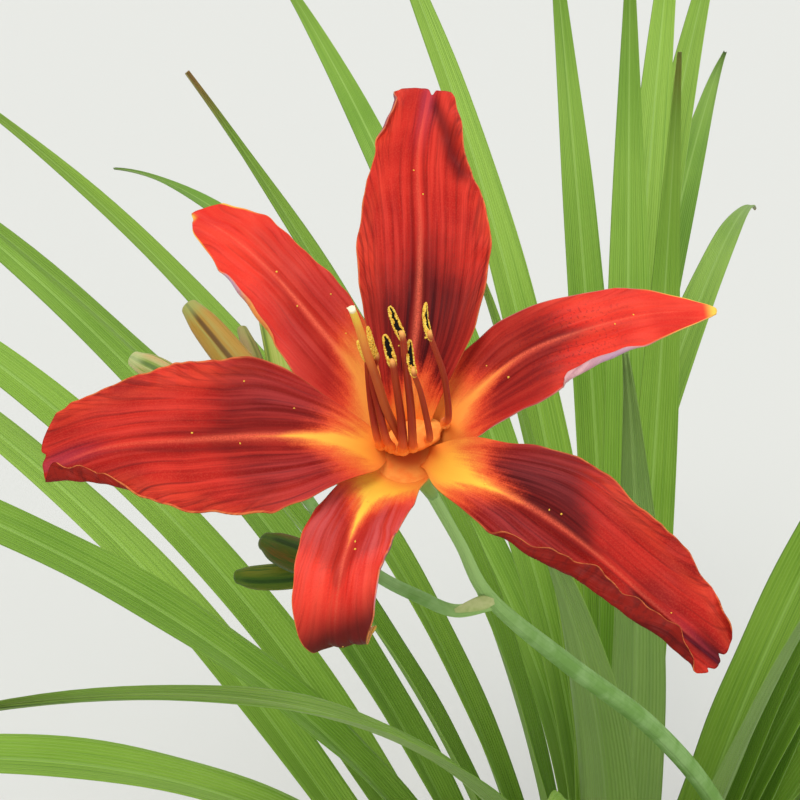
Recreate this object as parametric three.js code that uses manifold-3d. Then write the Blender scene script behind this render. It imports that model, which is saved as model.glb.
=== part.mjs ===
// A daylily in a plain clay pot: five fans of strap leaves stand in potting soil, and a leaning
// stalk carries an open flower of six tepals and six closed buds.
// Units are millimetres, +Z is up, and the origin is the centre of the pot's flat base.
import * as THREE from "three";
import { mergeVertices } from "three/addons/utils/BufferGeometryUtils.js";
import Module from "manifold-3d";

const wasm = await Module();
wasm.setup();

// ---------- Driving dimensions ----------

const GAP = 0.3; // between pieces that touch
const LEAF_THICKNESS = 0.9;
const TEPAL_THICKNESS = 0.8;

const POT = {
  height: 190,
  baseRadius: 76,
  underCollarRadius: 104,
  collarRadius: 109,
  rimRadius: 112,
  collarHeight: 26,
  edge: 2, // size of the slopes under the collar and at the rim
  rimInnerRadius: 104,
  floorInnerRadius: 69,
  floor: 10,
  drains: 4,
  drainRadius: 6,
  drainCircle: 38,
  sides: 40,
};

// The soil's top rises from the pot's wall to a shoulder and a flat crown, at these shares of its radius.
const SOIL = { edgeTop: 166, shoulderTop: 170, crownTop: 172, shoulder: 0.72, crown: 0.35 };

// A fan is a short stem foot in a hole of the soil, with a row of leaves that runs outwards on it.
const FAN = {
  count: 5,
  firstAzimuth: 28,
  leaves: 10,
  firstRadius: 13,
  leafSpacing: 4.2,
  rootDepth: 5, // how far the leaves are sunk into the foot
  halfWidth: 4.6,
  inner: 6,
  outer: 59,
  bottom: 138,
  top: 158,
};

const LEAF = {
  seed: 41,
  steps: 18,
  rowsEvery: 2,
  length: 505,
  innerShorter: 85, // a fan's youngest leaf is shorter by this much
  outerShorter: 11, // and each of the oldest leaves by this much more than the last
  leanFirst: 1.5, // degrees from upright just above the foot, for the innermost leaf
  leanStep: 2.4, // more for each leaf further out
  tipFirst: 24, // degrees from upright at the innermost leaf's tip
  tipStep: 11.5,
  bendPower: 1.55,
  spreadFirst: 5, // degrees of azimuth away from the fan's row, for the first pair
  spreadStep: 7.5,
  halfWidths: [4.6, 6.6, 8.4, 9.2, 9.3, 8.9, 7.9, 6.1, 3.4, 0.6],
  folds: [64, 56, 38, 27, 21, 18, 16, 14, 12, 10], // degrees that each half of the blade is raised
};

// The flower stands on the stalk's end. Its own frame: x and y across the flower, z out of its throat.
const FLOWER = {
  place: new THREE.Vector3(-85, -130, 600),
  axis: new THREE.Vector3(-0.05, -0.425, 0.904).normalize(),
  baseDepth: 12, // the tepals start this far down the throat
  throatBend: [1.5, 3.2], // sideways shift of the throat's bottom
};

// Midribs are points out from the flower's axis, up along it, and to the side, base to tip.
// "left" and "right" are half-widths on the two sides of the midrib at the same stations.
const PETALS = {
  petal_top: {
    azimuth: 88,
    midrib: [[2.8, -12, 0], [5, -5, 0], [8.6, 5, -0.9], [19.2, 12, -2.5], [33, 17, -2.8],
      [49.1, 19, -2], [65.7, 17, -3.7]],
    left: [2.35, 4.1, 4.8, 9.8, 11.3, 8, 5],
    right: [2.35, 4.1, 6.6, 10.8, 12.7, 8.8, 3.4],
  },
  petal_left: {
    azimuth: 189,
    midrib: [[2.8, -12, 0], [5, -5, 0], [12.1, 5, 0], [24.5, 11, 0.2], [36.6, 15, 0.7],
      [49.9, 16, 0], [62.6, 13, 0.7]],
    left: [2.35, 4.1, 8.8, 15, 13.8, 7.5, 2.4],
    right: [2.35, 4.1, 7.4, 14.5, 14.5, 12.3, 4.6],
  },
  petal_right: {
    azimuth: 318,
    midrib: [[2.8, -12, 0], [5, -5, 0], [15.6, 4, 0.6], [28.3, 9, 1.7], [42.8, 13, 1],
      [57.3, 15, -0.5], [69.5, 12, 0.1]],
    left: [2.35, 4.1, 8.2, 12.3, 11.5, 9.9, 3.6],
    right: [2.35, 4.1, 5.3, 7.8, 6, 4, 3.5],
  },
};
const SEPALS = {
  sepal_right: {
    azimuth: 21,
    midrib: [[4.1, -12, 0], [7, -5.2, 0], [12.9, 1.2, 1.9], [24.4, 8, 3.7], [35.9, 12, 2.3],
      [47.2, 14, -0.1], [59.2, 13, -3.4]],
    left: [2.6, 3.6, 5, 7.8, 7.3, 5.3, 0.8],
    right: [2.6, 3.6, 6.2, 10, 7.5, 5.5, 0.8],
  },
  sepal_left: {
    azimuth: 132,
    midrib: [[4.1, -12, 0], [7, -5.2, 0], [15.8, 1.2, -2.4], [26.3, 8, -2], [37, 12, -1.8],
      [47.4, 13, -1], [58.8, 10, 0.1]],
    left: [2.6, 3.6, 7.5, 8.3, 7.5, 5.5, 0.8],
    right: [2.6, 3.6, 6, 8.3, 7.5, 8, 2.4],
  },
  sepal_bottom: {
    azimuth: 255,
    midrib: [[4.1, -12, 0], [7, -5.2, 0], [11.8, 0, -2.5], [21, 4, -3.2], [30, 4, -3],
      [39.3, -3, -1.5], [35, -16, 1.5]],
    left: [2.6, 3.6, 6.5, 7.3, 6.8, 6.3, 1.5],
    right: [2.6, 3.6, 4, 8, 8, 7.5, 1.5],
  },
};
// Cross curvature along a tepal, in 1/mm: wrapped round the throat at its base, flat at its tip.
const PETAL_CUP = [0.34, 0.16, 0.03, 0.015, 0.01, 0.005, 0];
const SEPAL_CUP = [0.24, 0.12, 0.03, 0.015, 0.01, 0.005, 0];
const PETAL_GRID = { rows: 23, across: 7, ruffle: 1.1, waves: 5.5 };
const SEPAL_GRID = { rows: 14, across: 5, ruffle: 0, waves: 0 };

// Filaments start in a ring round the style, pass these points of the flower's frame, and each
// carries an anther from its last point to the anther's tip.
const STAMENS = [
  { path: [[-4.1, 0.2, -2.8], [-4.5, -1, 4.6], [-4.8, 0, 13.6], [-4.9, 0.9, 22.8], [-4.8, 0.3, 30.6]],
    anther: [-5.7, 1.6, 35] },
  { path: [[-2.3, -0.7, -2.8], [-2.8, -1.7, 4.6], [-3.5, -0.9, 14.8], [-4, -0.2, 24.9], [-2.7, -0.7, 32.7]],
    anther: [-3.7, 1.5, 38.8] },
  { path: [[-0.3, -1.2, -2.6], [0.2, -2.4, 3.6], [0.3, -2, 13], [0.2, -2.3, 23.5], [0.1, -3.1, 34.5]],
    anther: [-1.1, 0.7, 38.6] },
  { path: [[1.4, -0.8, -2.6], [1.9, -2.2, 3.6], [2.2, -2.4, 17], [2.1, -2.2, 30.5], [2, -2.2, 42]],
    anther: [0.3, 1.2, 46.5] },
  { path: [[3.4, 0, -2.6], [4.2, -1.5, 3.6], [4.4, -2.2, 13], [4, -2.9, 24.7], [3.4, -5.5, 35.3]],
    anther: [3.7, -1, 39] },
  { path: [[4.7, 1.8, -2.6], [7.8, 0.9, 5], [8.5, -0.1, 14.5], [7.9, -1, 28], [6, -2.1, 42]],
    anther: [5.8, 2, 46.2] },
];
const FILAMENT = { radius: 0.45, ringRadius: 1.75, firstAngle: 165, angleStep: 48, sides: 6, steps: 11 };
const ANTHER = { radius: 1, startGap: 0.9, sides: 6, steps: 5, profile: [0.5, 1, 1, 0.95, 0.8, 0.35] };
const PISTIL = {
  path: [[-0.1, 0.7, -5], [-1, -0.6, 6], [-2.2, -1.4, 16], [-3.1, -1.9, 28], [-4, -2, 37],
    [-4.8, -1.9, 46], [-5.4, -1.8, 51]],
  radii: [0.55, 0.6, 0.6, 0.6, 0.6, 0.65, 0.8, 0.95],
  sides: 7,
  steps: 16,
};

// The stalk and what hangs on it: points relative to the flower's place, and radii along them.
const NECK = {
  path: [[2.2, 8.4, -11], [3.6, 11.2, -18.6], [5.4, 13.8, -24.4]],
  radii: [4.7, 3.3, 2.2, 1.6, 1.4, 1.3, 1.2],
};
const STALK = {
  path: [[5.7, 14.3, -25.4], [11.7, 16.4, -40.7], [18.7, 15.7, -56.3], [37, 22, -82.6],
    [60, 32.5, -116], [80, 43.5, -155], [95, 56, -200], [99.5, 73, -255], [97, 88.5, -310],
    [91.5, 103, -362], [87, 113.8, -408], [86.7, 114.4, -449]],
  radii: [1.2, 1.2, 1.55, 2.1, 2.3, 2.4, 2.5, 2.7, 2.85, 3, 3.2, 3.3],
  holeRadius: 4,
};
const BRANCH = {
  path: [[18.7, 15.9, -57.5], [11, 14.4, -58.1], [3.6, 15.6, -55.3], [-4.7, 18.7, -52.5],
    [-12.1, 23.6, -49], [-19.3, 31.7, -43.9], [-24.1, 37.5, -39.5]],
  radii: [1.5, 1.4, 1.4, 1.35, 1.3, 1.3, 1.3],
};
// Each bud: its short stem from the branch, then its own curved axis from foot to tip.
const BUDS = {
  bud_a: { stem: [[-10, 22, -50.5], [-13.4, 24.4, -52.4]], radius: 2.9,
    path: [[-14.1, 24.8, -53], [-21.4, 24.6, -56.9], [-29.3, 24.5, -58], [-35.2, 25, -58.4]] },
  bud_b: { stem: [[-10, 22, -50], [-12.9, 21.2, -49.8]], radius: 3.7,
    path: [[-13.3, 21.1, -49.8], [-18.5, 20.2, -49.6], [-24.3, 20.9, -47.6], [-28.6, 22, -45.6]] },
  bud_c: { stem: [[-21.5, 34.5, -41.5], [-27.2, 38.4, -37.6]], radius: 3.2,
    path: [[-27.9, 38.7, -37.1], [-38.5, 42, -30], [-49.5, 46.5, -21.4], [-56.6, 49.2, -18.4]] },
  bud_d: { stem: [[-22.5, 35.7, -41], [-25.6, 42.2, -35.6]], radius: 3.7,
    path: [[-25.9, 42.7, -35.2], [-30.3, 49.9, -28.7], [-39.1, 59.5, -22.6], [-46.5, 67.2, -17.7]] },
  bud_e: { stem: [[-22.5, 35.7, -41], [-23.9, 43, -41.6]], radius: 3,
    path: [[-24, 43.6, -41.7], [-25, 55.1, -39.5], [-28, 69.6, -32.8], [-32.1, 83.3, -24.4]] },
  bud_f: { stem: [[-23.2, 36.6, -42], [-28.5, 45.7, -45]], radius: 2.2,
    path: [[-29, 46.6, -45.1], [-31, 57.5, -41.5], [-33, 67.6, -35.2], [-36.7, 76.2, -29.9]] },
};
const STEM = { radii: [1.3, 1.15], steps: 3, sides: 7 };
const BUD_PROFILE = [0.42, 0.62, 0.82, 0.97, 1, 0.98, 0.92, 0.8, 0.55];
const BUD = { sides: 9, steps: 8, lobe: 0.06 };

// Small papery leaves that clasp the stalk where it forks, each hollowed along its middle.
const BRACTS = {
  bract_node: { path: [[19, 12.9, -53.8], [16.3, 12.8, -54.3], [13.6, 12.6, -55.2], [10.9, 12.5, -56.2]],
    halfWidths: [0.9, 1.4, 1.3, 0.9, 0.3], across: [0.25, 0.5, 0.83] },
  bract_fork: { path: [[-19.4, 34, -47], [-21.8, 39.5, -46.8], [-24.2, 45, -46.2], [-25.6, 50, -46.6]],
    halfWidths: [0.8, 1.6, 1.6, 1, 0.3], across: [0.9, 0.4, -0.1] },
};
const BRACT = { thickness: 0.7, hollow: 0.3, steps: 6 };

// ---------- Materials ----------

const paint = (color, roughness) => new THREE.MeshStandardMaterial({ color, roughness, metalness: 0 });
const CLAY = paint(0xb5694a, 0.85);
const EARTH = paint(0x33271e, 1);
const LEAF_GREEN = paint(0x6fa03a, 0.5);
const STALK_GREEN = paint(0x7fa57a, 0.5);
const BUD_GREEN = paint(0x5c7435, 0.5);
const BUD_GOLD = paint(0xb08f3f, 0.5);
const BRACT_PALE = paint(0xc3cfa0, 0.7);
const TEPAL_RED = paint(0xc42f26, 0.45);
const TUBE_GREEN = paint(0x8fa860, 0.5);
const FILAMENT_RED = paint(0xa8382a, 0.45);
const ANTHER_YELLOW = paint(0xd9a520, 0.9);
const STYLE_ORANGE = paint(0xd98a3a, 0.45);

// ---------- Shared geometry ----------

const radians = THREE.MathUtils.degToRad;
const vector = ([x, y, z]) => new THREE.Vector3(x, y, z);

function smooth(from, to, x) {
  const t = Math.min(Math.max((x - from) / (to - from), 0), 1);
  return t * t * (3 - 2 * t);
}

// Uniform Catmull-Rom through evenly spaced numbers, with t from 0 to 1.
function along(values, t) {
  const last = values.length - 1;
  const x = Math.min(Math.max(t, 0), 1) * last;
  const i = Math.min(Math.floor(x), last - 1);
  const f = x - i;
  const p1 = values[i];
  const p2 = values[i + 1];
  const p0 = i > 0 ? values[i - 1] : 2 * p1 - p2;
  const p3 = i + 2 <= last ? values[i + 2] : 2 * p2 - p1;
  return 0.5 * (2 * p1 + (p2 - p0) * f + (2 * p0 - 5 * p1 + 4 * p2 - p3) * f * f
    + (3 * p1 - p0 - 3 * p2 + p3) * f * f * f);
}

function geometryFrom(vertices, faces) {
  const geometry = new THREE.BufferGeometry();
  geometry.setAttribute("position", new THREE.Float32BufferAttribute(vertices.flatMap((p) => p.toArray()), 3));
  geometry.setIndex(faces);
  geometry.computeVertexNormals();
  return geometry;
}

// A thin closed blade between an upper grid of points and the same grid moved back by its thickness.
// Rows run along the blade and columns across it, and both faces are split along the same diagonals.
function blade(upper, thickness) {
  const rows = upper.length;
  const columns = upper[0].length;
  const lower = upper.map((row, i) => row.map((point, j) => {
    const lengthwise = upper[Math.min(i + 1, rows - 1)][j].clone().sub(upper[Math.max(i - 1, 0)][j]);
    const crosswise = row[Math.min(j + 1, columns - 1)].clone().sub(row[Math.max(j - 1, 0)]);
    const normal = lengthwise.cross(crosswise).normalize();
    return point.clone().addScaledVector(normal, -thickness);
  }));
  const top = (i, j) => i * columns + j;
  const under = (i, j) => rows * columns + top(i, j);
  const faces = [];
  for (let i = 0; i < rows - 1; i++) {
    for (let j = 0; j < columns - 1; j++) {
      faces.push(top(i, j), top(i + 1, j), top(i + 1, j + 1), top(i, j), top(i + 1, j + 1), top(i, j + 1));
      faces.push(under(i, j), under(i + 1, j + 1), under(i + 1, j));
      faces.push(under(i, j), under(i, j + 1), under(i + 1, j + 1));
    }
  }
  const wall = (a, b, c, d) => faces.push(a, b, c, a, c, d);
  const far = columns - 1;
  const end = rows - 1;
  for (let i = 0; i < end; i++) {
    wall(top(i, far), top(i + 1, far), under(i + 1, far), under(i, far));
    wall(top(i + 1, 0), top(i, 0), under(i, 0), under(i + 1, 0));
  }
  for (let j = 0; j < far; j++) {
    wall(top(0, j), top(0, j + 1), under(0, j + 1), under(0, j));
    wall(top(end, j + 1), top(end, j), under(end, j), under(end, j + 1));
  }
  return geometryFrom([...upper.flat(), ...lower.flat()], faces);
}

// A closed tapering rod through points, with a radius list along it and an optional three-lobed section.
function rod(points, radii, { steps, sides, lobe = 0 }) {
  const curve = new THREE.CatmullRomCurve3(points, false, "catmullrom", 0.5);
  const start = curve.getTangent(0);
  const helper = Math.abs(start.z) < 0.9 ? new THREE.Vector3(0, 0, 1) : new THREE.Vector3(1, 0, 0);
  let normal = new THREE.Vector3().crossVectors(start, helper).normalize();
  const vertices = [];
  for (let i = 0; i <= steps; i++) {
    const t = i / steps;
    const centre = curve.getPoint(t);
    const tangent = curve.getTangent(t);
    normal = normal.clone().addScaledVector(tangent, -normal.dot(tangent)).normalize();
    const side = new THREE.Vector3().crossVectors(tangent, normal);
    for (let k = 0; k < sides; k++) {
      const angle = (2 * Math.PI * k) / sides;
      const radius = along(radii, t) * (1 + lobe * Math.cos(3 * angle));
      vertices.push(centre.clone().addScaledVector(normal, radius * Math.cos(angle))
        .addScaledVector(side, radius * Math.sin(angle)));
    }
  }
  const faces = [];
  for (let i = 0; i < steps; i++) {
    for (let k = 0; k < sides; k++) {
      const next = (k + 1) % sides;
      const a = i * sides + k;
      const b = i * sides + next;
      faces.push(a, b, b + sides, a, b + sides, a + sides);
    }
  }
  const foot = vertices.push(curve.getPoint(0)) - 1;
  const tip = vertices.push(curve.getPoint(1)) - 1;
  for (let k = 0; k < sides; k++) {
    const next = (k + 1) % sides;
    faces.push(foot, next, k, tip, steps * sides + k, steps * sides + next);
  }
  return geometryFrom(vertices, faces);
}

function solidOf(geometry) {
  const bare = geometry.clone();
  bare.deleteAttribute("normal");
  bare.deleteAttribute("uv");
  const merged = mergeVertices(bare, 1e-4);
  return new wasm.Manifold(new wasm.Mesh({
    numProp: 3,
    vertProperties: merged.attributes.position.array,
    triVerts: new Uint32Array(merged.index.array),
  }));
}

function geometryOf(solid) {
  const mesh = solid.getMesh();
  const geometry = new THREE.BufferGeometry();
  geometry.setAttribute("position", new THREE.BufferAttribute(mesh.vertProperties, 3));
  geometry.setIndex(new THREE.BufferAttribute(mesh.triVerts, 1));
  geometry.computeVertexNormals();
  return geometry;
}

const plant = new THREE.Group();

function addPiece(name, geometry, material) {
  const mesh = new THREE.Mesh(geometry, material);
  mesh.name = name;
  plant.add(mesh);
}

// ---------- Pot and soil ----------

function revolve(profile) {
  const points = profile.map(([radius, height]) => new THREE.Vector2(radius, height));
  return new THREE.LatheGeometry(points, POT.sides).rotateX(Math.PI / 2);
}

function potInnerRadius(height) {
  const share = (height - POT.floor) / (POT.height - POT.floor);
  return POT.floorInnerRadius + share * (POT.rimInnerRadius - POT.floorInnerRadius);
}

function makePot() {
  const collarBottom = POT.height - POT.collarHeight;
  let pot = solidOf(revolve([
    [0, 0], [POT.baseRadius, 0], [POT.underCollarRadius, collarBottom],
    [POT.collarRadius, collarBottom + POT.edge], [POT.rimRadius, POT.height - POT.edge],
    [POT.rimRadius - POT.edge, POT.height], [POT.rimInnerRadius, POT.height],
    [POT.floorInnerRadius, POT.floor], [0, POT.floor],
  ]));
  for (let i = 0; i < POT.drains; i++) {
    const angle = (2 * Math.PI * (i + 0.5)) / POT.drains;
    const drain = new THREE.CylinderGeometry(POT.drainRadius, POT.drainRadius, 3 * POT.floor, 16)
      .rotateX(Math.PI / 2)
      .translate(POT.drainCircle * Math.cos(angle), POT.drainCircle * Math.sin(angle), POT.floor / 2);
    pot = pot.subtract(solidOf(drain));
  }
  addPiece("pot", geometryOf(pot), CLAY);
}

const fanAzimuth = (index) => FAN.firstAzimuth + (360 / FAN.count) * index;

// A flat block with round ends along a fan's row: the fan's foot, or with no clearance its hole.
function fanBlock(index, clearance, top) {
  const halfWidth = FAN.halfWidth - clearance;
  const bottom = FAN.bottom + clearance;
  const outline = new THREE.Shape();
  outline.absarc(FAN.outer - FAN.halfWidth, 0, halfWidth, -Math.PI / 2, Math.PI / 2);
  outline.absarc(FAN.inner + FAN.halfWidth, 0, halfWidth, Math.PI / 2, 1.5 * Math.PI);
  outline.closePath();
  return new THREE.ExtrudeGeometry(outline, { depth: top - bottom, bevelEnabled: false, curveSegments: 6 })
    .rotateZ(radians(fanAzimuth(index)))
    .translate(0, 0, bottom);
}

function makeSoil() {
  const bottom = POT.floor + GAP;
  const below = potInnerRadius(bottom) - GAP;
  const above = potInnerRadius(SOIL.edgeTop) - GAP;
  let soil = solidOf(revolve([
    [0, bottom], [below, bottom], [above, SOIL.edgeTop], [SOIL.shoulder * above, SOIL.shoulderTop],
    [SOIL.crown * above, SOIL.crownTop], [0, SOIL.crownTop],
  ]));
  for (let index = 0; index < FAN.count; index++) {
    soil = soil.subtract(solidOf(fanBlock(index, 0, POT.height)));
  }
  const foot = vector(STALK.path.at(-1)).add(FLOWER.place);
  const holeBottom = foot.z - 2 * GAP;
  const holeDepth = POT.height - holeBottom;
  const hole = new THREE.CylinderGeometry(STALK.holeRadius, STALK.holeRadius, holeDepth, 16)
    .rotateX(Math.PI / 2)
    .translate(foot.x, foot.y, holeBottom + holeDepth / 2);
  addPiece("soil", geometryOf(soil.subtract(solidOf(hole))), EARTH);
}

// ---------- Leaves ----------

let state = LEAF.seed;
function random() {
  state = (state * 16807) % 2147483647;
  return state / 2147483647;
}
const jitter = (size) => (2 * random() - 1) * size;

// Leaves spread to both sides of the row in turn, and lean and droop more the further out they stand.
// The rows of points that this gives run across each leaf: left edge, keel, right edge.
function leafRows(index, rank) {
  const pair = Math.ceil(rank / 2);
  const side = (rank + index) % 2 ? 1 : -1;
  const spread = side * (pair ? LEAF.spreadFirst + LEAF.spreadStep * (pair - 1) : 0) + jitter(3);
  const youth = Math.max(0, 1 - rank / 3);
  const age = Math.max(0, rank - 6);
  const length = LEAF.length - LEAF.innerShorter * youth - LEAF.outerShorter * age + jitter(28);
  const lean = LEAF.leanFirst + LEAF.leanStep * rank;
  const tip = LEAF.tipFirst + LEAF.tipStep * rank + jitter(9);
  const sway = jitter(10);
  const twist = radians(jitter(28));
  const breadth = 1 + jitter(0.1);
  const turn = radians(fanAzimuth(index));
  const standing = FAN.firstRadius + FAN.leafSpacing * rank;
  const point = new THREE.Vector3(
    standing * Math.cos(turn), standing * Math.sin(turn), FAN.top - FAN.rootDepth);

  const heading = (s) => turn + radians(spread * smooth(0.06, 0.4, s) + sway * s * s);
  const tilt = (s) => radians(lean * smooth(0, 0.05, s) + (tip - lean) * s ** LEAF.bendPower);
  const direction = (s) => new THREE.Vector3(
    Math.sin(tilt(s)) * Math.cos(heading(s)), Math.sin(tilt(s)) * Math.sin(heading(s)), Math.cos(tilt(s)));
  const rows = [];
  for (let i = 0; i <= LEAF.steps; i++) {
    const s = i / LEAF.steps;
    if (i % LEAF.rowsEvery === 0 || i === 1) {
      const tangent = direction(s);
      const across = new THREE.Vector3(-Math.sin(heading(s)), Math.cos(heading(s)), 0)
        .applyAxisAngle(tangent, twist * s * s);
      const inward = new THREE.Vector3().crossVectors(tangent, across);
      const fold = radians(along(LEAF.folds, s));
      const half = along(LEAF.halfWidths, s) * breadth;
      const edge = (sign) => point.clone()
        .addScaledVector(across, sign * half * Math.cos(fold))
        .addScaledVector(inward, half * Math.sin(fold));
      rows.push([edge(-1), point.clone(), edge(1)]);
    }
    point.addScaledVector(direction((i + 0.5) / LEAF.steps), length / LEAF.steps);
  }
  return rows;
}

function makeFan(index) {
  let fan = solidOf(fanBlock(index, GAP, FAN.top));
  for (let rank = 0; rank < FAN.leaves; rank++) {
    fan = fan.add(solidOf(blade(leafRows(index, rank), LEAF_THICKNESS)));
  }
  addPiece(`fan_${index + 1}`, geometryOf(fan), LEAF_GREEN);
}

// ---------- Flower ----------

const acrossFlower = new THREE.Vector3(1, 0, 0).addScaledVector(FLOWER.axis, -FLOWER.axis.x).normalize();
const upFlower = new THREE.Vector3().crossVectors(FLOWER.axis, acrossFlower);

// A point of the flower's frame in the plant's frame. Below the mouth the throat bends sideways.
function flowerPoint(local) {
  const bend = Math.min(Math.max(-local.z / FLOWER.baseDepth, 0), 1) ** 2;
  return FLOWER.place.clone()
    .addScaledVector(acrossFlower, local.x + bend * FLOWER.throatBend[0])
    .addScaledVector(upFlower, local.y + bend * FLOWER.throatBend[1])
    .addScaledVector(FLOWER.axis, local.z);
}

function tepalRow(tepal, cup, grid, u) {
  const turn = radians(tepal.azimuth);
  const outward = new THREE.Vector3(Math.cos(turn), Math.sin(turn), 0);
  const sideways = new THREE.Vector3(-Math.sin(turn), Math.cos(turn), 0);
  const rib = (t) => new THREE.Vector3(0, 0, along(tepal.midrib.map((p) => p[1]), t))
    .addScaledVector(outward, along(tepal.midrib.map((p) => p[0]), t))
    .addScaledVector(sideways, along(tepal.midrib.map((p) => p[2]), t));
  const nudge = 0.001;
  const tangent = rib(Math.min(u + nudge, 1)).sub(rib(Math.max(u - nudge, 0))).normalize();
  const across = sideways.clone().addScaledVector(tangent, -sideways.dot(tangent)).normalize();
  const normal = new THREE.Vector3().crossVectors(tangent, across);
  const bend = along(cup, u);
  const slices = 8;
  const row = [];
  for (let j = 0; j < grid.across; j++) {
    const v = (2 * j) / (grid.across - 1) - 1;
    const side = v >= 0 ? 1 : -1;
    const reach = Math.abs(v) * along(v >= 0 ? tepal.left : tepal.right, u);
    const point = rib(u);
    for (let k = 0; k < slices; k++) {
      const angle = (bend * reach * (k + 0.5)) / slices;
      point.addScaledVector(across, (side * reach * Math.cos(angle)) / slices);
      point.addScaledVector(normal, (reach * Math.sin(angle)) / slices);
    }
    const phase = 2 * Math.PI * grid.waves * u + (side > 0 ? 0.7 : 2.9);
    point.addScaledVector(normal, grid.ruffle * smooth(0.3, 0.6, u) * Math.abs(v) ** 3 * Math.sin(phase));
    row.push(flowerPoint(point));
  }
  return row;
}

function makeTepals(tepals, cup, grid) {
  for (const [name, tepal] of Object.entries(tepals)) {
    const rows = [];
    for (let i = 0; i < grid.rows; i++) rows.push(tepalRow(tepal, cup, grid, i / (grid.rows - 1)));
    addPiece(name, blade(rows, TEPAL_THICKNESS), TEPAL_RED);
  }
}

function makeStamen(index) {
  const { path, anther } = STAMENS[index];
  const angle = radians(FILAMENT.firstAngle + index * FILAMENT.angleStep);
  const foot = [
    FILAMENT.ringRadius * Math.cos(angle), FILAMENT.ringRadius * Math.sin(angle), GAP - FLOWER.baseDepth];
  const points = [foot, ...path].map((p) => flowerPoint(vector(p)));
  addPiece(`filament_${index + 1}`, rod(points, [FILAMENT.radius, FILAMENT.radius], FILAMENT), FILAMENT_RED);

  const tip = flowerPoint(vector(anther));
  const way = tip.clone().sub(points.at(-1)).normalize();
  const start = points.at(-1).addScaledVector(way, ANTHER.startGap);
  const middle = start.clone().lerp(tip, 0.5);
  const radii = ANTHER.profile.map((share) => share * ANTHER.radius);
  addPiece(`anther_${index + 1}`, rod([start, middle, tip], radii, ANTHER), ANTHER_YELLOW);
}

function makePistil() {
  const foot = [0, 0, GAP - FLOWER.baseDepth];
  const points = [foot, ...PISTIL.path].map((p) => flowerPoint(vector(p)));
  addPiece("pistil", rod(points, PISTIL.radii, PISTIL), STYLE_ORANGE);
}

// ---------- Stalk, buds and bracts ----------

const onStalk = (points) => points.map((p) => vector(p).add(FLOWER.place));

function makeStalk() {
  addPiece("perianth_tube", rod(onStalk(NECK.path), NECK.radii, { steps: 8, sides: 10 }), TUBE_GREEN);
  let stalk = solidOf(rod(onStalk(STALK.path), STALK.radii, { steps: 28, sides: 8 }));
  stalk = stalk.add(solidOf(rod(onStalk(BRANCH.path), BRANCH.radii, { steps: 14, sides: 8 })));
  for (const { stem } of Object.values(BUDS)) {
    stalk = stalk.add(solidOf(rod(onStalk(stem), STEM.radii, STEM)));
  }
  addPiece("stalk", geometryOf(stalk), STALK_GREEN);
}

function makeBuds() {
  for (const [name, { path, radius }] of Object.entries(BUDS)) {
    const radii = BUD_PROFILE.map((share) => share * radius);
    addPiece(name, rod(onStalk(path), radii, BUD), name === "bud_d" ? BUD_GOLD : BUD_GREEN);
  }
}

function makeBracts() {
  for (const [name, { path, halfWidths, across }] of Object.entries(BRACTS)) {
    const curve = new THREE.CatmullRomCurve3(onStalk(path), false, "catmullrom", 0.5);
    const rows = [];
    for (let i = 0; i <= BRACT.steps; i++) {
      const t = i / BRACT.steps;
      const tangent = curve.getTangent(t);
      const side = vector(across).addScaledVector(tangent, -vector(across).dot(tangent)).normalize();
      const lift = new THREE.Vector3().crossVectors(tangent, side);
      const half = along(halfWidths, t);
      const edge = (sign) => curve.getPoint(t)
        .addScaledVector(side, sign * half)
        .addScaledVector(lift, BRACT.hollow * half);
      rows.push([edge(-1), curve.getPoint(t), edge(1)]);
    }
    addPiece(name, blade(rows, BRACT.thickness), BRACT_PALE);
  }
}

makePot();
makeSoil();
for (let index = 0; index < FAN.count; index++) makeFan(index);
makeTepals(PETALS, PETAL_CUP, PETAL_GRID);
makeTepals(SEPALS, SEPAL_CUP, SEPAL_GRID);
for (let index = 0; index < STAMENS.length; index++) makeStamen(index);
makePistil();
makeStalk();
makeBuds();
makeBracts();

export default plant;
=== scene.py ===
"""Looks of the potted daylily: finer pieces take the place of the frame's plain solids.

Lengths are in millimetres, in the frame's own axes, until a mesh is made in metres.
"""
import math

import bpy
import numpy as np
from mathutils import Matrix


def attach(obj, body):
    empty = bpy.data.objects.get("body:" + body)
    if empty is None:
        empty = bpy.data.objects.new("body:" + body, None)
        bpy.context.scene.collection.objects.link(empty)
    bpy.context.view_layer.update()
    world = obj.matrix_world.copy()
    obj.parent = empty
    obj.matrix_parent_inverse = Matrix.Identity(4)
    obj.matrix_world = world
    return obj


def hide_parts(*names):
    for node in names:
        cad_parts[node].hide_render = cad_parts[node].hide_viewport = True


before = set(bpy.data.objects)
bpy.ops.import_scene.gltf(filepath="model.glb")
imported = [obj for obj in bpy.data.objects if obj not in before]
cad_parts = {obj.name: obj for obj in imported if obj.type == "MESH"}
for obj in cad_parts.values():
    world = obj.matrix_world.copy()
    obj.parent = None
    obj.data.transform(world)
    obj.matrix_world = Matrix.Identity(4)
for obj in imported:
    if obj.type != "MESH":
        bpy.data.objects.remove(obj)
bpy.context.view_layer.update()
MM = 0.001

# ---------- The plant's dimensions, as in the frame ----------

POT = dict(height=190, base_radius=76, under_collar_radius=104, collar_radius=109, rim_radius=112,
           collar_height=26, rim_inner_radius=104, floor_inner_radius=69, floor=10, drains=4,
           drain_radius=6, drain_circle=38)
SOIL = dict(edge_top=166, crown_top=172)
GAP = 0.3

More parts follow.
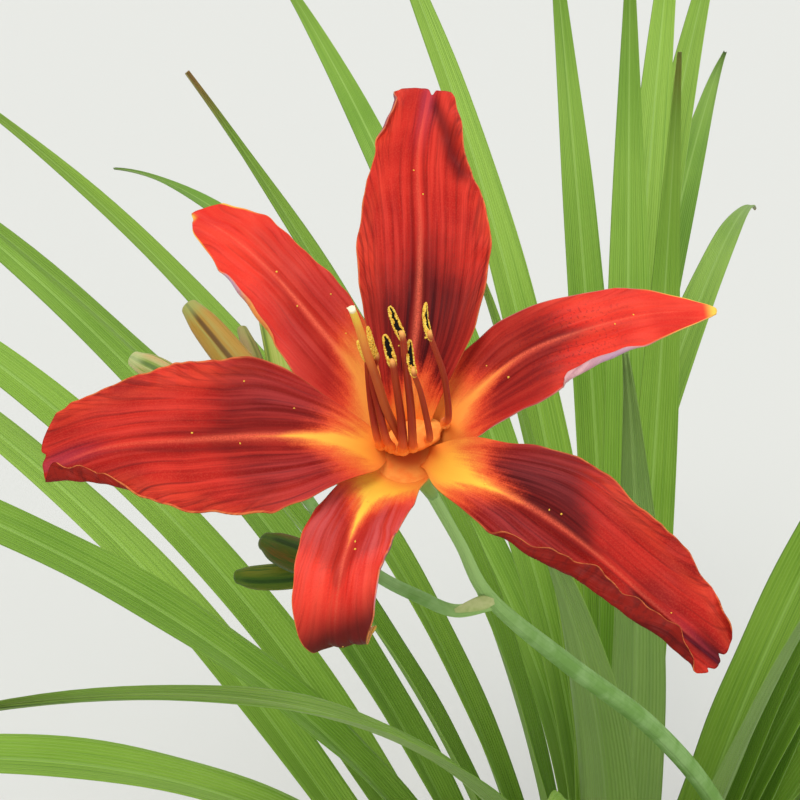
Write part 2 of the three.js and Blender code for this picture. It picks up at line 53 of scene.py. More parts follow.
FAN = dict(count=5, first_azimuth=28, leaves=10, first_radius=13, leaf_spacing=4.2, root_height=153)
FAN_FOOT = dict(height=150, reach=(12, 30, 54), radii=[3, 4.2, 4.2, 3])
LEAF = dict(seed=41, length=505, inner_shorter=85, outer_shorter=11, lean_first=1.5, lean_step=2.4,
            tip_first=24, tip_step=11.5, bend_power=1.55, spread_first=5, spread_step=7.5,
            half_widths=[4.6, 6.6, 8.4, 9.2, 9.3, 8.9, 7.9, 6.1, 3.4, 0.6],
            folds=[64, 56, 38, 27, 21, 18, 16, 14, 12, 10], thickness=0.9)

# The flower's own frame: x and y across it, z out of its throat.
PLACE = np.array([-85.0, -130.0, 600.0])
AXIS = np.array([-0.05, -0.425, 0.904]) / np.linalg.norm([-0.05, -0.425, 0.904])
BASE_DEPTH = 12
THROAT_BEND = (1.5, 3.2)

# Midribs are points out from the flower's axis, up along it, and to the side, base to tip.
# "left" and "right" are half-widths on the two sides of the midrib at the same stations.
PETALS = {
    "petal_top": dict(
        azimuth=88,
        midrib=[(2.8, -12, 0), (5, -5, 0), (8.6, 5, -0.9), (19.2, 12, -2.5), (33, 17, -2.8),
                (49.1, 19, -2), (65.7, 17, -3.7)],
        left=[2.35, 4.1, 4.8, 9.8, 11.3, 8, 5],
        right=[2.35, 4.1, 6.6, 10.8, 12.7, 8.8, 3.4]),
    "petal_left": dict(
        azimuth=189,
        midrib=[(2.8, -12, 0), (5, -5, 0), (12.1, 5, 0), (24.5, 11, 0.2), (36.6, 15, 0.7),
                (49.9, 16, 0), (62.6, 13, 0.7)],
        left=[2.35, 4.1, 8.8, 15, 13.8, 7.5, 2.4],
        right=[2.35, 4.1, 7.4, 14.5, 14.5, 12.3, 4.6]),
    "petal_right": dict(
        azimuth=318,
        midrib=[(2.8, -12, 0), (5, -5, 0), (15.6, 4, 0.6), (28.3, 9, 1.7), (42.8, 13, 1),
                (57.3, 15, -0.5), (69.5, 12, 0.1)],
        left=[2.35, 4.1, 8.2, 12.3, 11.5, 9.9, 3.6],
        right=[2.35, 4.1, 5.3, 7.8, 6, 4, 3.5]),
}
SEPALS = {
    "sepal_right": dict(
        azimuth=21,
        midrib=[(4.1, -12, 0), (7, -5.2, 0), (12.9, 1.2, 1.9), (24.4, 8, 3.7), (35.9, 12, 2.3),
                (47.2, 14, -0.1), (59.2, 13, -3.4)],
        left=[2.6, 3.6, 5, 7.8, 7.3, 5.3, 0.8],
        right=[2.6, 3.6, 6.2, 10, 7.5, 5.5, 0.8]),
    "sepal_left": dict(
        azimuth=132,
        midrib=[(4.1, -12, 0), (7, -5.2, 0), (15.8, 1.2, -2.4), (26.3, 8, -2), (37, 12, -1.8),
                (47.4, 13, -1), (58.8, 10, 0.1)],
        left=[2.6, 3.6, 7.5, 8.3, 7.5, 5.5, 0.8],
        right=[2.6, 3.6, 6, 8.3, 7.5, 8, 2.4]),
    "sepal_bottom": dict(
        azimuth=255,
        midrib=[(4.1, -12, 0), (7, -5.2, 0), (11.8, 0, -2.5), (21, 4, -3.2), (30, 4, -3),
                (39.3, -3, -1.5), (35, -16, 1.5)],
        left=[2.6, 3.6, 6.5, 7.3, 6.8, 6.3, 1.5],
        right=[2.6, 3.6, 4, 8, 8, 7.5, 1.5]),
}
PETAL_CUP = [0.34, 0.16, 0.03, 0.015, 0.01, 0.005, 0]
SEPAL_CUP = [0.24, 0.12, 0.03, 0.015, 0.01, 0.005, 0]
TEPAL_THICKNESS = 0.8
RUFFLE = dict(height=1.1, waves=5.5)

# A stamen's filament passes these points and its anther ends at "anther". "turn" is how far in degrees the
# anther's slit is turned away from the front, and "breadth" and "thick" scale the anther and the filament.
STAMENS = [
    dict(path=[(-4.4, 0.5, -2.4), (-4.5, -1, 4.6), (-4.8, 0, 13.6), (-4.75, 0.9, 22.8), (-4.45, 0.2, 30.6)],
         anther=(-5.6, 1.4, 34.4), turn=170, breadth=0.6, thick=0.85),
    dict(path=[(-2.4, -0.2, -2.2), (-2.8, -1.7, 4.6), (-3.5, -0.9, 14.8), (-4, -0.2, 24.9),
               (-2.7, -0.7, 32.7)],
         anther=(-3.7, 1.5, 38.8), turn=165, breadth=0.62, thick=0.85),
    dict(path=[(-0.2, -0.7, -1.8), (0.2, -2.3, 4), (0.3, -2, 13), (0.2, -2.3, 23.5), (0.1, -3.1, 34.5)],
         anther=(-1, 0.3, 38), turn=0, breadth=1, thick=1),
    dict(path=[(1.6, -0.2, -1.8), (1.9, -2.2, 4), (2.2, -2.4, 17), (2.1, -2.2, 30.5), (2, -2.2, 42)],
         anther=(0.3, 0.9, 46), turn=10, breadth=0.9, thick=0.95),
    dict(path=[(4.4, 0.9, -1.8), (5.0, -1.4, 4), (4.75, -2.2, 13), (4.15, -3.1, 24.7), (3.5, -5.2, 35.3)],
         anther=(3.0, -1.2, 38.8), turn=30, breadth=0.85, thick=0.75),
    dict(path=[(7.6, 3.9, -0.7), (8.3, 1.6, 5), (8.5, -0.1, 14.5), (8.0, -1, 28), (6.45, -2.1, 41.6)],
         anther=(5.85, 1.7, 45.4), turn=55, breadth=0.8, thick=0.8),
]
PISTIL = [(0, 0, -11.7), (-0.1, 0.7, -5), (-1, -0.6, 6), (-2.2, -1.4, 16), (-3.1, -1.9, 28), (-4, -2, 37),
          (-4.8, -1.9, 46), (-5.4, -1.8, 51)]

# The stalk and what hangs on it: points relative to the flower's place.
NECK = [(2.2, 8.4, -11), (3.6, 11.2, -18.6), (5.4, 13.8, -24.4)]
NECK_RADII = [4.7, 3.3, 2.2, 1.6, 1.4, 1.3, 1.2]
STALK = dict(
    path=[(5.7, 14.3, -25.4), (11.7, 16.4, -40.7), (18.7, 15.7, -56.3), (37, 22, -82.6), (60, 32.5, -116),
          (80, 43.5, -155), (95, 56, -200), (99.5, 73, -255), (97, 88.5, -310), (91.5, 103, -362),
          (87, 113.8, -408), (86.7, 114.4, -449)],
    radii=[1.2, 1.2, 1.55, 2.1, 2.3, 2.4, 2.5, 2.7, 2.85, 3, 3.2, 3.3])
BRANCH = dict(
    path=[(18.7, 15.9, -57.5), (11, 14.4, -58.1), (3.6, 15.6, -55.3), (-4.7, 18.7, -52.5), (-12.1, 23.6, -49),
          (-19.3, 31.7, -43.9), (-24.1, 37.5, -39.5)],
    radii=[1.5, 1.4, 1.4, 1.35, 1.3, 1.3, 1.3])
STEM_RADII = [1.3, 1.15]
BUDS = {
    "bud_a": dict(stem=[(-10, 22, -50.5), (-13.4, 24.4, -52.4)], radius=2.9, spin=20,
                  path=[(-14.1, 24.8, -53), (-21.4, 24.6, -56.9), (-29.3, 24.5, -58), (-35.2, 25, -58.4)]),
    "bud_b": dict(stem=[(-10, 22, -50), (-12.9, 21.2, -49.8)], radius=3.7, spin=75,
                  path=[(-13.3, 21.1, -49.8), (-18.5, 20.2, -49.6), (-24.3, 20.9, -47.6),
                        (-28.6, 22, -45.6)]),
    "bud_c": dict(stem=[(-21.5, 34.5, -41.5), (-27.2, 38.4, -37.6)], radius=3.2, spin=50,
                  path=[(-27.9, 38.7, -37.1), (-38.5, 42, -30), (-49.5, 46.5, -21.4), (-56.6, 49.2, -18.4)]),
    "bud_d": dict(stem=[(-22.5, 35.7, -41), (-25.6, 42.2, -35.6)], radius=3.7, spin=60,
                  path=[(-25.9, 42.7, -35.2), (-30.3, 49.9, -28.7), (-39.1, 59.5, -22.6),
                        (-46.5, 67.2, -17.7)]),
    "bud_e": dict(stem=[(-22.5, 35.7, -41), (-23.9, 43, -41.6)], radius=3, spin=30,
                  path=[(-24, 43.6, -41.7), (-25, 55.1, -39.5), (-28, 69.6, -32.8), (-32.1, 83.3, -24.4)]),
    "bud_f": dict(stem=[(-23.2, 36.6, -42), (-28.5, 45.7, -45)], radius=2.2, spin=0,
                  path=[(-29, 46.6, -45.1), (-31, 57.5, -41.5), (-33, 67.6, -35.2), (-36.7, 76.2, -29.9)]),
}
BUD_PROFILE = [0.42, 0.62, 0.82, 0.97, 1, 0.98, 0.92, 0.8, 0.55]
BRACTS = {
    "bract_node": dict(path=[(19, 12.9, -53.8), (16.3, 12.8, -54.3), (13.6, 12.6, -55.2),
                             (10.9, 12.5, -56.2)],
                       half_widths=[0.4, 1.3, 1.2, 0.8, 0.25], across=(0.25, 0.5, 0.83)),
    "bract_fork": dict(path=[(-19.4, 34, -47), (-21.8, 39.5, -46.8), (-24.2, 45, -46.2), (-25.6, 50, -46.6)],
                       half_widths=[0.8, 1.6, 1.6, 1, 0.3], across=(0.9, 0.4, -0.1)),
}

# ---------- What only the finer pieces have ----------

# What the finer tepals have where LOOKS doesn't say otherwise. Side 1 is a tepal's left half, and -1 its
# right. Places along a tepal and across a half are shares of them, and other sizes are millimetres.
PLAIN_LOOK = dict(
    notches=[],  # cuts in the tip's end: place across, depth as a share of the length, reach
    corner=0.02,  # how far the tip's corners are cut back, as a share of the length
    ruffle=1,  # how much the margins wave, against the siblings'
    slant=0,  # how far the tip half is turned across its midrib, in degrees
    skew=0,  # how far the tip half slides along the tepal at its margins
    valleys=[],  # creases sunk into the relief, with painted shade along them: side, two places along and across, width, depth
    lean=0,  # how much further the throat goes at the left margin than in the middle
    yellow=0.1,  # how yellow the throat's middle is
    lilac=0.1,  # how much of a painted lilac sheen lies beyond the throat
    rib=0.35,  # how bright the midrib is
    spots=0.1,  # how dark the dots beyond the eye zone are
    hollow=0,  # how dark the painted shade in the tip's hollow is
    end_shade=(1.5, 2.0),  # where a painted shade over the tepal's curled-under end starts, and where it is darkest; beyond 1 there is none
    rim="#f08c4c")  # the margin's colour

# rolls: margins turned up over the face (side, start and end along the tepal, how long the roll takes to
# grow and to fade, its depth, its turn in degrees and how much its edge waves). bumps: fuller or slimmer
# places of a margin (side, place along, size, reach). Then the marks: where the orange throat ends at the
# margins, how much further its wedge goes in the middle, and its flame along the midrib; how dark the eye
# zone is on the left and right half, and how far beyond the throat it ends; how strong the painted light on
# the streaks is, where folds catch the light; from where across a sepal's tip is gold; the seed of its own
# patterns; and the colours of face and back.
LOOKS = {
    "petal_top": dict(
        rolls=[dict(side=1, start=0.84, end=1.0, grow=0.06, fade=0.05, depth=0.7, turn=140)],
        bumps=[(-1, 0.93, 1.4, 0.05), (1, 0.865, 0.7, 0.02), (1, 0.98, 1.2, 0.02), (-1, 0.99, 0.7, 0.02)],
        notches=[(-0.12, 0.014, 0.1), (-0.5, -0.006, 0.1)], corner=0.0,
        valleys=[(-1, (0.96, 0.3), (0.9, 0.6), 2.0, 0.7), (-1, (0.9, 0.6), (0.8, 0.8), 2.2, 0.8)],
        throat=0.265, wedge=0.08, lean=-0.03, flame=0.03, eye=(1.0, 1.0), eye_end=0.38, bright=0.85,
        lilac=0.0, rib=0.6, seed=3.0, reds=("#ac160f", "#c6281c"), back=("#a8606a", "#7a2420")),
    "petal_left": dict(
        rolls=[dict(side=1, start=0.72, end=1.2, grow=0.25, fade=0.1, depth=2.9, turn=160)],
        bumps=[(-1, 0.97, 3.4, 0.07), (-1, 0.43, 1.5, 0.07), (-1, 0.65, 0.5, 0.05), (-1, 0.84, -0.9, 0.05),
               (1, 0.1, -2.4, 0.1)],
        notches=[(-0.3, 0.012, 0.1)], corner=0.05, ruffle=0.5,
        throat=0.25, wedge=0.12, flame=0.13, yellow=0.6, eye=(0.45, 0.7), eye_end=0.36, bright=0.75,
        rib=0.6, seed=11.0, reds=("#9b130e", "#b92218"), back=("#8e1f14", "#63100f")),
    "petal_right": dict(
        rolls=[dict(side=-1, start=0.4, end=1.0, grow=0.3, fade=0.14, depth=2.9, turn=165),
               dict(side=1, start=0.88, end=1.1, grow=0.1, fade=0.1, depth=0.9, turn=80)],
        bumps=[(1, 0.9, 0.6, 0.03), (1, 0.27, 1.2, 0.08), (-1, 0.18, -3.2, 0.08), (-1, 0.06, -2.2, 0.07)],
        notches=[(0.2, 0.014, 0.12), (-0.6, 0.012, 0.1)], corner=0.025,
        valleys=[(-1, (1.0, 0.1), (0.78, 0.16), 1.2, 0.4)],
        throat=0.29, wedge=0.11, lean=-0.03, flame=0.07, yellow=0.9, eye=(1.0, 0.45), eye_end=0.32,
        bright=0.35, hollow=0.85, rib=0.55, seed=23.0,
        reds=("#8f100c", "#a91a13"), back=("#85190f", "#5c0e0c")),
    "sepal_right": dict(
        rolls=[dict(side=-1, start=0.575, end=0.88, grow=0.03, fade=0.28, depth=1.1, turn=165, wave=0.04)],
        bumps=[(1, 0.33, 2.2, 0.12), (-1, 0.28, 1.6, 0.1)],
        throat=0.28, wedge=0.12, lean=0.02, flame=0.08, eye=(0.75, 0.75), eye_end=0.33, bright=0.5,
        lilac=0.0, rib=0.6, spots=0.5, gold=-3.0, rim="#c08c80", seed=31.0,
        reds=("#d0241a", "#e83a29"), back=("#e0b0b0", "#c48890")),
    "sepal_left": dict(
        rolls=[dict(side=1, start=0.48, end=0.82, grow=0.12, fade=0.16, depth=0.65, turn=150, wave=0.04)],
        bumps=[(1, 0.93, 0.8, 0.05), (1, 0.34, 2.6, 0.11), (-1, 0.83, -0.8, 0.11), (-1, 0.96, 1.2, 0.05)],
        notches=[(0.6, 0.015, 0.2)], corner=0.05,
        throat=0.315, wedge=0.04, lean=-0.17, flame=0.06, eye=(0.5, 0.4), eye_end=0.48, bright=0.5,
        rib=0.7, gold=-0.2, seed=43.0, reds=("#d9281b", "#e83a29"), back=("#e08a3c", "#c66a44")),
    "sepal_bottom": dict(
        rolls=[dict(side=1, start=0.45, end=0.85, grow=0.06, fade=0.2, depth=0.3, turn=120)],
        bumps=[(-1, 0.3, 2.6, 0.13), (-1, 0.12, 3.6, 0.08), (1, 0.25, 2.4, 0.13), (1, 0.1, 2.6, 0.07),
               (-1, 0.82, -3.0, 0.08), (1, 0.97, -1.0, 0.08)],
        slant=18, skew=1.7, end_shade=(0.67, 0.81),
        throat=0.28, wedge=0.16, lean=-0.035, flame=0.1, yellow=1.0, eye=(0.4, 0.45), eye_end=0.3,
        bright=0.7, lilac=0.3, rib=0.55, gold=-0.2, seed=57.0,
        reds=("#d9281b", "#e83a29"), back=("#8a5068", "#7a4258")),
}
LOOKS = {name: PLAIN_LOOK | look for name, look in LOOKS.items()}

FILAMENT_RADII = [1.2, 1.0, 0.85, 0.75, 0.65, 0.55, 0.3]
PISTIL_RADII = [0.6, 0.7, 0.78, 0.8, 0.76, 0.7, 0.63, 0.58]
BRACT_THICKNESS = 0.4
# The fleshy collar in the throat: its middle, its half-length and half-breadth, its turn in degrees, and
# its profile (share of those halves, height). Below it is the floor of the tube's mouth (radius, height).
COLLAR = dict(middle=(1.4, 2.1), length=6.0, breadth=3.2, turn=17,
              profile=[(0, -11), (0.3, -11), (0.7, -6.5), (1, -3.9), (0.95, -2.7), (0, -1.7)])
MOUTH_FLOOR = [(0, -12.6), (4.4, -12.6), (7.0, -6.1), (6.95, -5.65), (5.2, -6.7), (3, -7.2), (0, -7)]

# How fine the pieces are: rows along a tepal and columns across each of its halves, the same for a leaf
# over its whole width, and how many small parts lie on each piece.
TEPAL_ROWS, TEPAL_HALF = 160, 40
LEAF_ROWS, LEAF_COLUMNS = 72, 15
SPECKS = 4  # fallen pollen on a tepal
GRAINS = 760  # pollen on an anther
BEADS = 60  # on the stigma
# Crumbs, clods and grit on the soil: how many, their least and largest radius, and the same of their tint.
SOIL_LUMPS = ((2600, 0.5, 1.5, 0.0, 0.85), (420, 1.5, 3.2, 0.0, 0.9), (110, 0.8, 1.8, 1.0, 1.0))
SEEDS = dict(specks=17, anther=70, stigma=5, leaf=300, soil=12)  # of the random draws

# ---------- Camera ----------

# Its height angle, its distance to the flower, and the scale there.
VIEW_ELEVATION = 38
VIEW_DISTANCE = 300
HALF_VIEW = 72.5  # half of the picture's width at the flower
FLOWER_OFFSET = (0.54, 7.25)  # the flower's place is this far right of and below the picture's middle
SENSOR = 36


# ---------- Numbers and curves ----------

def smooth(start, end, x):
    """0 up to start and 1 from end on, or the other way round where end is lower."""
    t = np.clip((x - start) / (end - start), 0, 1)
    return t * t * (3 - 2 * t)


def unit(v):
    """Each vector with length 1."""
    return v / np.linalg.norm(v, axis=-1, keepdims=True)


def along(values, t):
    """Uniform Catmull-Rom through evenly spaced numbers or points, at each t from 0 to 1."""
    values = np.asarray(values, float)
    t = np.clip(np.asarray(t, float), 0, 1)
    last = len(values) - 1
    i = np.minimum((t * last).astype(int), last - 1)
    ends = [2 * values[:1] - values[1:2], values, 2 * values[-1:] - values[-2:-1]]
    padded = np.concatenate(ends)
    p0, p1, p2, p3 = (padded[i + k] for k in range(4))
    f = (t * last - i).reshape(t.shape + (1,) * (values.ndim - 1))
    return 0.5 * (2 * p1 + (p2 - p0) * f + (2 * p0 - 5 * p1 + 4 * p2 - p3) * f**2
                  + (3 * p1 - p0 - 3 * p2 + p3) * f**3)


def wobble(seed, t, waves):
    """A smooth seeded wander between about -1 and 1, with that many waves over t from 0 to 1."""
    rng = np.random.default_rng(seed)
    parts, total = 4, 0
    for _ in range(parts):
        total = total + np.sin(2 * math.pi * (rng.uniform(0.6, 1.5) * waves * t + rng.uniform()))
    return total / math.sqrt(2 * parts)


ACROSS_FLOWER = unit(np.array([1.0, 0, 0]) - AXIS[0] * AXIS)
UP_FLOWER = np.cross(AXIS, ACROSS_FLOWER)


def flower_point(local):
    """Points of the flower's frame in the plant's frame. Below the mouth the throat bends sideways."""
    local = np.asarray(local, float)
    bend = np.clip(-local[..., 2:] / BASE_DEPTH, 0, 1) ** 2
    return (PLACE + (local[..., :1] + bend * THROAT_BEND[0]) * ACROSS_FLOWER
            + (local[..., 1:2] + bend * THROAT_BEND[1]) * UP_FLOWER + local[..., 2:] * AXIS)


# ---------- Meshes ----------

class Shape:
    """Points and faces gathered from several closed bodies, with numbers kept at each point."""

    def __init__(self):
        self.points, self.faces, self.marks, self.count = [], [], {}, 0

    def add(self, points, faces, marks=None, **more):
        points = np.asarray(points, float).reshape(-1, 3)
        for name, values in {**(marks or {}), **more}.items():
            values = np.broadcast_to(np.asarray(values, float).ravel(), len(points))
            self.marks.setdefault(name, []).append(values)
        self.points.append(points)
        self.faces.extend((np.asarray(f) + self.count).tolist() for f in faces)
        self.count += len(points)
        return self

    def make(self, name, material, slot, *nodes):
        """The piece in the scene, which rides on the frame and stands for those nodes."""
        name = f"{name}_fine"
        mesh = bpy.data.meshes.new(name)
        faces = [face for group in self.faces for face in group]
        mesh.from_pydata((np.concatenate(self.points) * MM).tolist(), [], faces)
        for mark, values in self.marks.items():
            layer = mesh.attributes.new(mark, "FLOAT", "POINT")
            layer.data.foreach_set("value", np.concatenate(values).astype(np.float32))
        mesh.shade_smooth()
        mesh.materials.append(material)
        mesh.validate()
        piece = linked(name, mesh)
        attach(piece, "root")
        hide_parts(*nodes)
        return piece


def linked(name, data):
    """A new object of the scene."""
    item = bpy.data.objects.new(name, data)
    bpy.context.scene.collection.objects.link(item)
    return item


def ring_faces(rings, sides):
    """The points' numbers in a stack of rings, and the faces between the rings."""
    index = np.arange(rings * sides).reshape(rings, sides)
    beside = np.roll(index, -1, axis=1)
    return index, np.stack([index[:-1], beside[:-1], beside[1:], index[1:]], -1).reshape(-1, 4)


def closed_faces(rings, sides):
    """Faces round a stack of rings, closed by a fan to one more point at each end."""
    index, wall = ring_faces(rings, sides)
    foot, end = np.full(sides, index.size), np.full(sides, index.size + 1)
    return [wall, np.stack([foot, np.roll(index[0], -1), index[0]], -1),
            np.stack([end, index[-1], np.roll(index[-1], -1)], -1)]


def blade(front, thickness, **marks):
    """A closed thin blade: a front grid of points, and the same grid moved back by the thickness."""
    rows, columns = front.shape[:2]
    normal = unit(np.cross(np.gradient(front, axis=0), np.gradient(front, axis=1)))
    back = front - normal * np.broadcast_to(thickness, (rows, columns))[..., None]
    index = np.arange(rows * columns).reshape(rows, columns)
    face = np.stack([index[:-1, :-1], index[1:, :-1], index[1:, 1:], index[:-1, 1:]], -1).reshape(-1, 4)
    loop = np.concatenate([index[:-1, 0], index[-1, :-1], index[:0:-1, -1], index[0, :0:-1]])
    ahead = np.roll(loop, -1)
    size = rows * columns
    rim = np.stack([ahead, loop, loop + size, ahead + size], -1)
    double = {name: np.tile(np.ravel(v), 2) for name, v in marks.items()}
    points = np.concatenate([front.reshape(-1, 3), back.reshape(-1, 3)])
    return points, [face, face[:, ::-1] + size, rim], dict(double, under=np.repeat([0, 1], size))


def rod(path, radii, steps, sides, lobes=3, lobe=0.0, spin=0.0, dome=0.0):
    """A closed rod along a path. Its marks are how far along it a point is, and its turn round it.

    Its section may have lobes, turned by the spin in degrees, and its far end may be a dome."""
    t = np.linspace(0, 1, steps + 1)
    centre, radius = along(path, t), along(radii, t)
    tangent = unit(np.gradient(centre, axis=0))
    bend = np.linspace(0, math.pi / 2, 7)[1:-1] if dome else np.zeros(0)
    tip = centre[-1] + dome * radius[-1] * tangent[-1]
    cap = centre[-1] + dome * radius[-1] * np.sin(bend)[:, None] * tangent[-1]
    centre, radius = np.concatenate([centre, cap]), np.concatenate([radius, radius[-1] * np.cos(bend)])
    tangent = np.concatenate([tangent, np.repeat(tangent[-1:], len(bend), axis=0)])
    t = np.concatenate([t, np.ones(len(bend))])
    normal = np.cross(tangent[0], [0, 0, 1] if abs(tangent[0][2]) < 0.9 else [1, 0, 0])
    normals = []
    for way in tangent:
        normal = normal - normal @ way * way
        normal = normal / np.linalg.norm(normal)
        normals.append(normal)
    normals = np.array(normals)
    binormals = np.cross(tangent, normals)
    angle = np.linspace(0, 2 * math.pi, sides, endpoint=False)
    twisted = angle + math.radians(spin)
    radius = radius[:, None] * (1 + lobe * np.cos(lobes * angle))
    ring = (centre[:, None] + radius[..., None] * (np.cos(twisted)[:, None] * normals[:, None]
            + np.sin(twisted)[:, None] * binormals[:, None]))
    points = np.concatenate([ring.reshape(-1, 3), centre[:1], [tip]])
    length = np.concatenate([np.repeat(t, sides), [0, 1]])
    turn = np.concatenate([np.tile(angle / (2 * math.pi), len(t)), [0, 0]])
    return points, closed_faces(len(t), sides), dict(along=length, turn=turn)


def lathe(profile, sides):
    """A closed turned body from a profile of radius and height that starts and ends on the axis."""
    profile = np.asarray(profile, float)
    turn = np.linspace(0, 2 * math.pi, sides, endpoint=False)
    ring = profile[1:-1]
    points = np.stack([ring[:, :1] * np.cos(turn), ring[:, :1] * np.sin(turn),
                       np.broadcast_to(ring[:, 1:], (len(ring), sides))], -1)
    ends = [(0, 0, profile[0, 1]), (0, 0, profile[-1, 1])]
    return np.concatenate([points.reshape(-1, 3), ends]), closed_faces(len(ring), sides)


def rounded(corners, radius):
    """A profile with its inner corners rounded."""
    corners = np.asarray(corners, float)
    points = [corners[:1]]
    for before, corner, after in zip(corners, corners[1:], corners[2:]):
        reach = min(radius, np.linalg.norm(before - corner) / 2.1, np.linalg.norm(after - corner) / 2.1)
        start, end = corner + unit(before - corner) * reach, corner + unit(after - corner) * reach
        t = np.linspace(0, 1, 5)[:, None]  # five points make a round corner
        points.append(start * (1 - t) ** 2 + 2 * corner * t * (1 - t) + end * t**2)
    return np.concatenate([*points, corners[-1:]])


def subdivided(profile, longest):
    """The same profile with no stretch longer than that."""
    points = [profile[0]]
    for a, b in zip(profile, profile[1:]):
        parts = max(1, math.ceil(np.linalg.norm(b - a) / longest))
        points.extend(a + (b - a) * (k + 1) / parts for k in range(parts))
    return np.array(points)


def icosahedron():
    """The points and faces of a ball of 20 triangles, radius 1."""
    g = (1 + math.sqrt(5)) / 2
    points = [(-1, g, 0), (1, g, 0), (-1, -g, 0), (1, -g, 0), (0, -1, g), (0, 1, g),
              (0, -1, -g), (0, 1, -g), (g, 0, -1), (g, 0, 1), (-g, 0, -1), (-g, 0, 1)]
    faces = [(0, 11, 5), (0, 5, 1), (0, 1, 7), (0, 7, 10), (0, 10, 11), (1, 5, 9), (5, 11, 4),
             (11, 10, 2), (10, 7, 6), (7, 1, 8), (3, 9, 4), (3, 4, 2), (3, 2, 6), (3, 6, 8),
             (3, 8, 9), (4, 9, 5), (2, 4, 11), (6, 2, 10), (8, 6, 7), (9, 8, 1)]
    return unit(np.array(points, float)), np.array(faces)


BALL = icosahedron()


def lumps(shape, places, sizes, rng, rough, **marks):
    """Adds small balls at those places, uneven by the share "rough"."""
    points, faces = BALL
    count = len(places)
    w, x, y, z = unit(rng.normal(size=(count, 4))).T
    turn = np.array([[1 - 2 * (y * y + z * z), 2 * (x * y - z * w), 2 * (x * z + y * w)],
                     [2 * (x * y + z * w), 1 - 2 * (x * x + z * z), 2 * (y * z - x * w)],
                     [2 * (x * z - y * w), 2 * (y * z + x * w), 1 - 2 * (x * x + y * y)]])
    uneven = points[None] * (1 + rough * rng.uniform(-1, 1, (count, len(points), 1)))
    sizes = np.broadcast_to(np.asarray(sizes, float).reshape(count, -1), (count, 3))
    body = np.einsum("ijn,nkj->nki", turn, uneven * sizes[:, None]) + np.asarray(places)[:, None]
    index = (faces[None] + np.arange(count)[:, None, None] * len(points)).reshape(-1, 3)
    spread = {name: np.repeat(np.broadcast_to(v, count), len(points)) for name, v in marks.items()}
    return shape.add(body, [index], spread)


# ---------- Materials ----------

def colour(code):
    """A colour written as #rrggbb, in linear light."""
    parts = [int(code[i:i + 2], 16) / 255 for i in (1, 3, 5)]
    linear = [c / 12.92 if c <= 0.04045 else ((c + 0.055) / 1.055) ** 2.4 for c in parts]
    return (*linear, 1)


class Value:
    """A number or colour that a material's nodes work out at each point."""

    def __init__(self, tree, socket):
        self.tree, self.socket = tree, socket

    def math(self, operation, *others):
        """The value worked on by a math node, with the others as its further inputs."""
        return node_value(self.tree, "ShaderNodeMath", [self, *others], operation=operation)

    def __add__(self, other):
        return self.math("ADD", other)

    def __sub__(self, other):
        return self.math("SUBTRACT", other)

    def __rsub__(self, other):
        return self * -1 + other

    def __mul__(self, other):
        return self.math("MULTIPLY", other)

    def __truediv__(self, other):
        return self.math("DIVIDE", other)

    def __pow__(self, other):
        return self.math("POWER", other)

    __radd__, __rmul__ = __add__, __mul__

    def size(self):
        return self.math("ABSOLUTE")

    def fading(self, rate):
        """1 where the value is 0, and less the larger it is."""
        return (self * -rate).math("EXPONENT")

    def smooth(self, start, end):
        """0 up to start, 1 from end on, or the other way round where end is lower."""
        node = self.tree.nodes.new("ShaderNodeMapRange")
        node.interpolation_type = "SMOOTHSTEP"
        plug(self.tree, node.inputs["Value"], (self - start) / (end - start))
        return Value(self.tree, node.outputs["Result"])

    def bell(self, middle, width):
        """1 at the middle, falling off on both sides."""
        off = (self - middle) / width
        return (off * off).fading(1)


def plug(tree, socket, value):
    """Gives a socket a worked-out value, a colour code or a number."""
    if isinstance(value, Value):
        tree.links.new(value.socket, socket)
    else:
        socket.default_value = colour(value) if isinstance(value, str) else value


def node_value(tree, kind, values, **settings):
    """What a new node of that kind makes of the values."""
    node = tree.nodes.new(kind)
    for name, setting in settings.items():
        setattr(node, name, setting)
    for socket, value in zip(node.inputs, values):
        plug(tree, socket, value)
    return Value(tree, node.outputs[0])


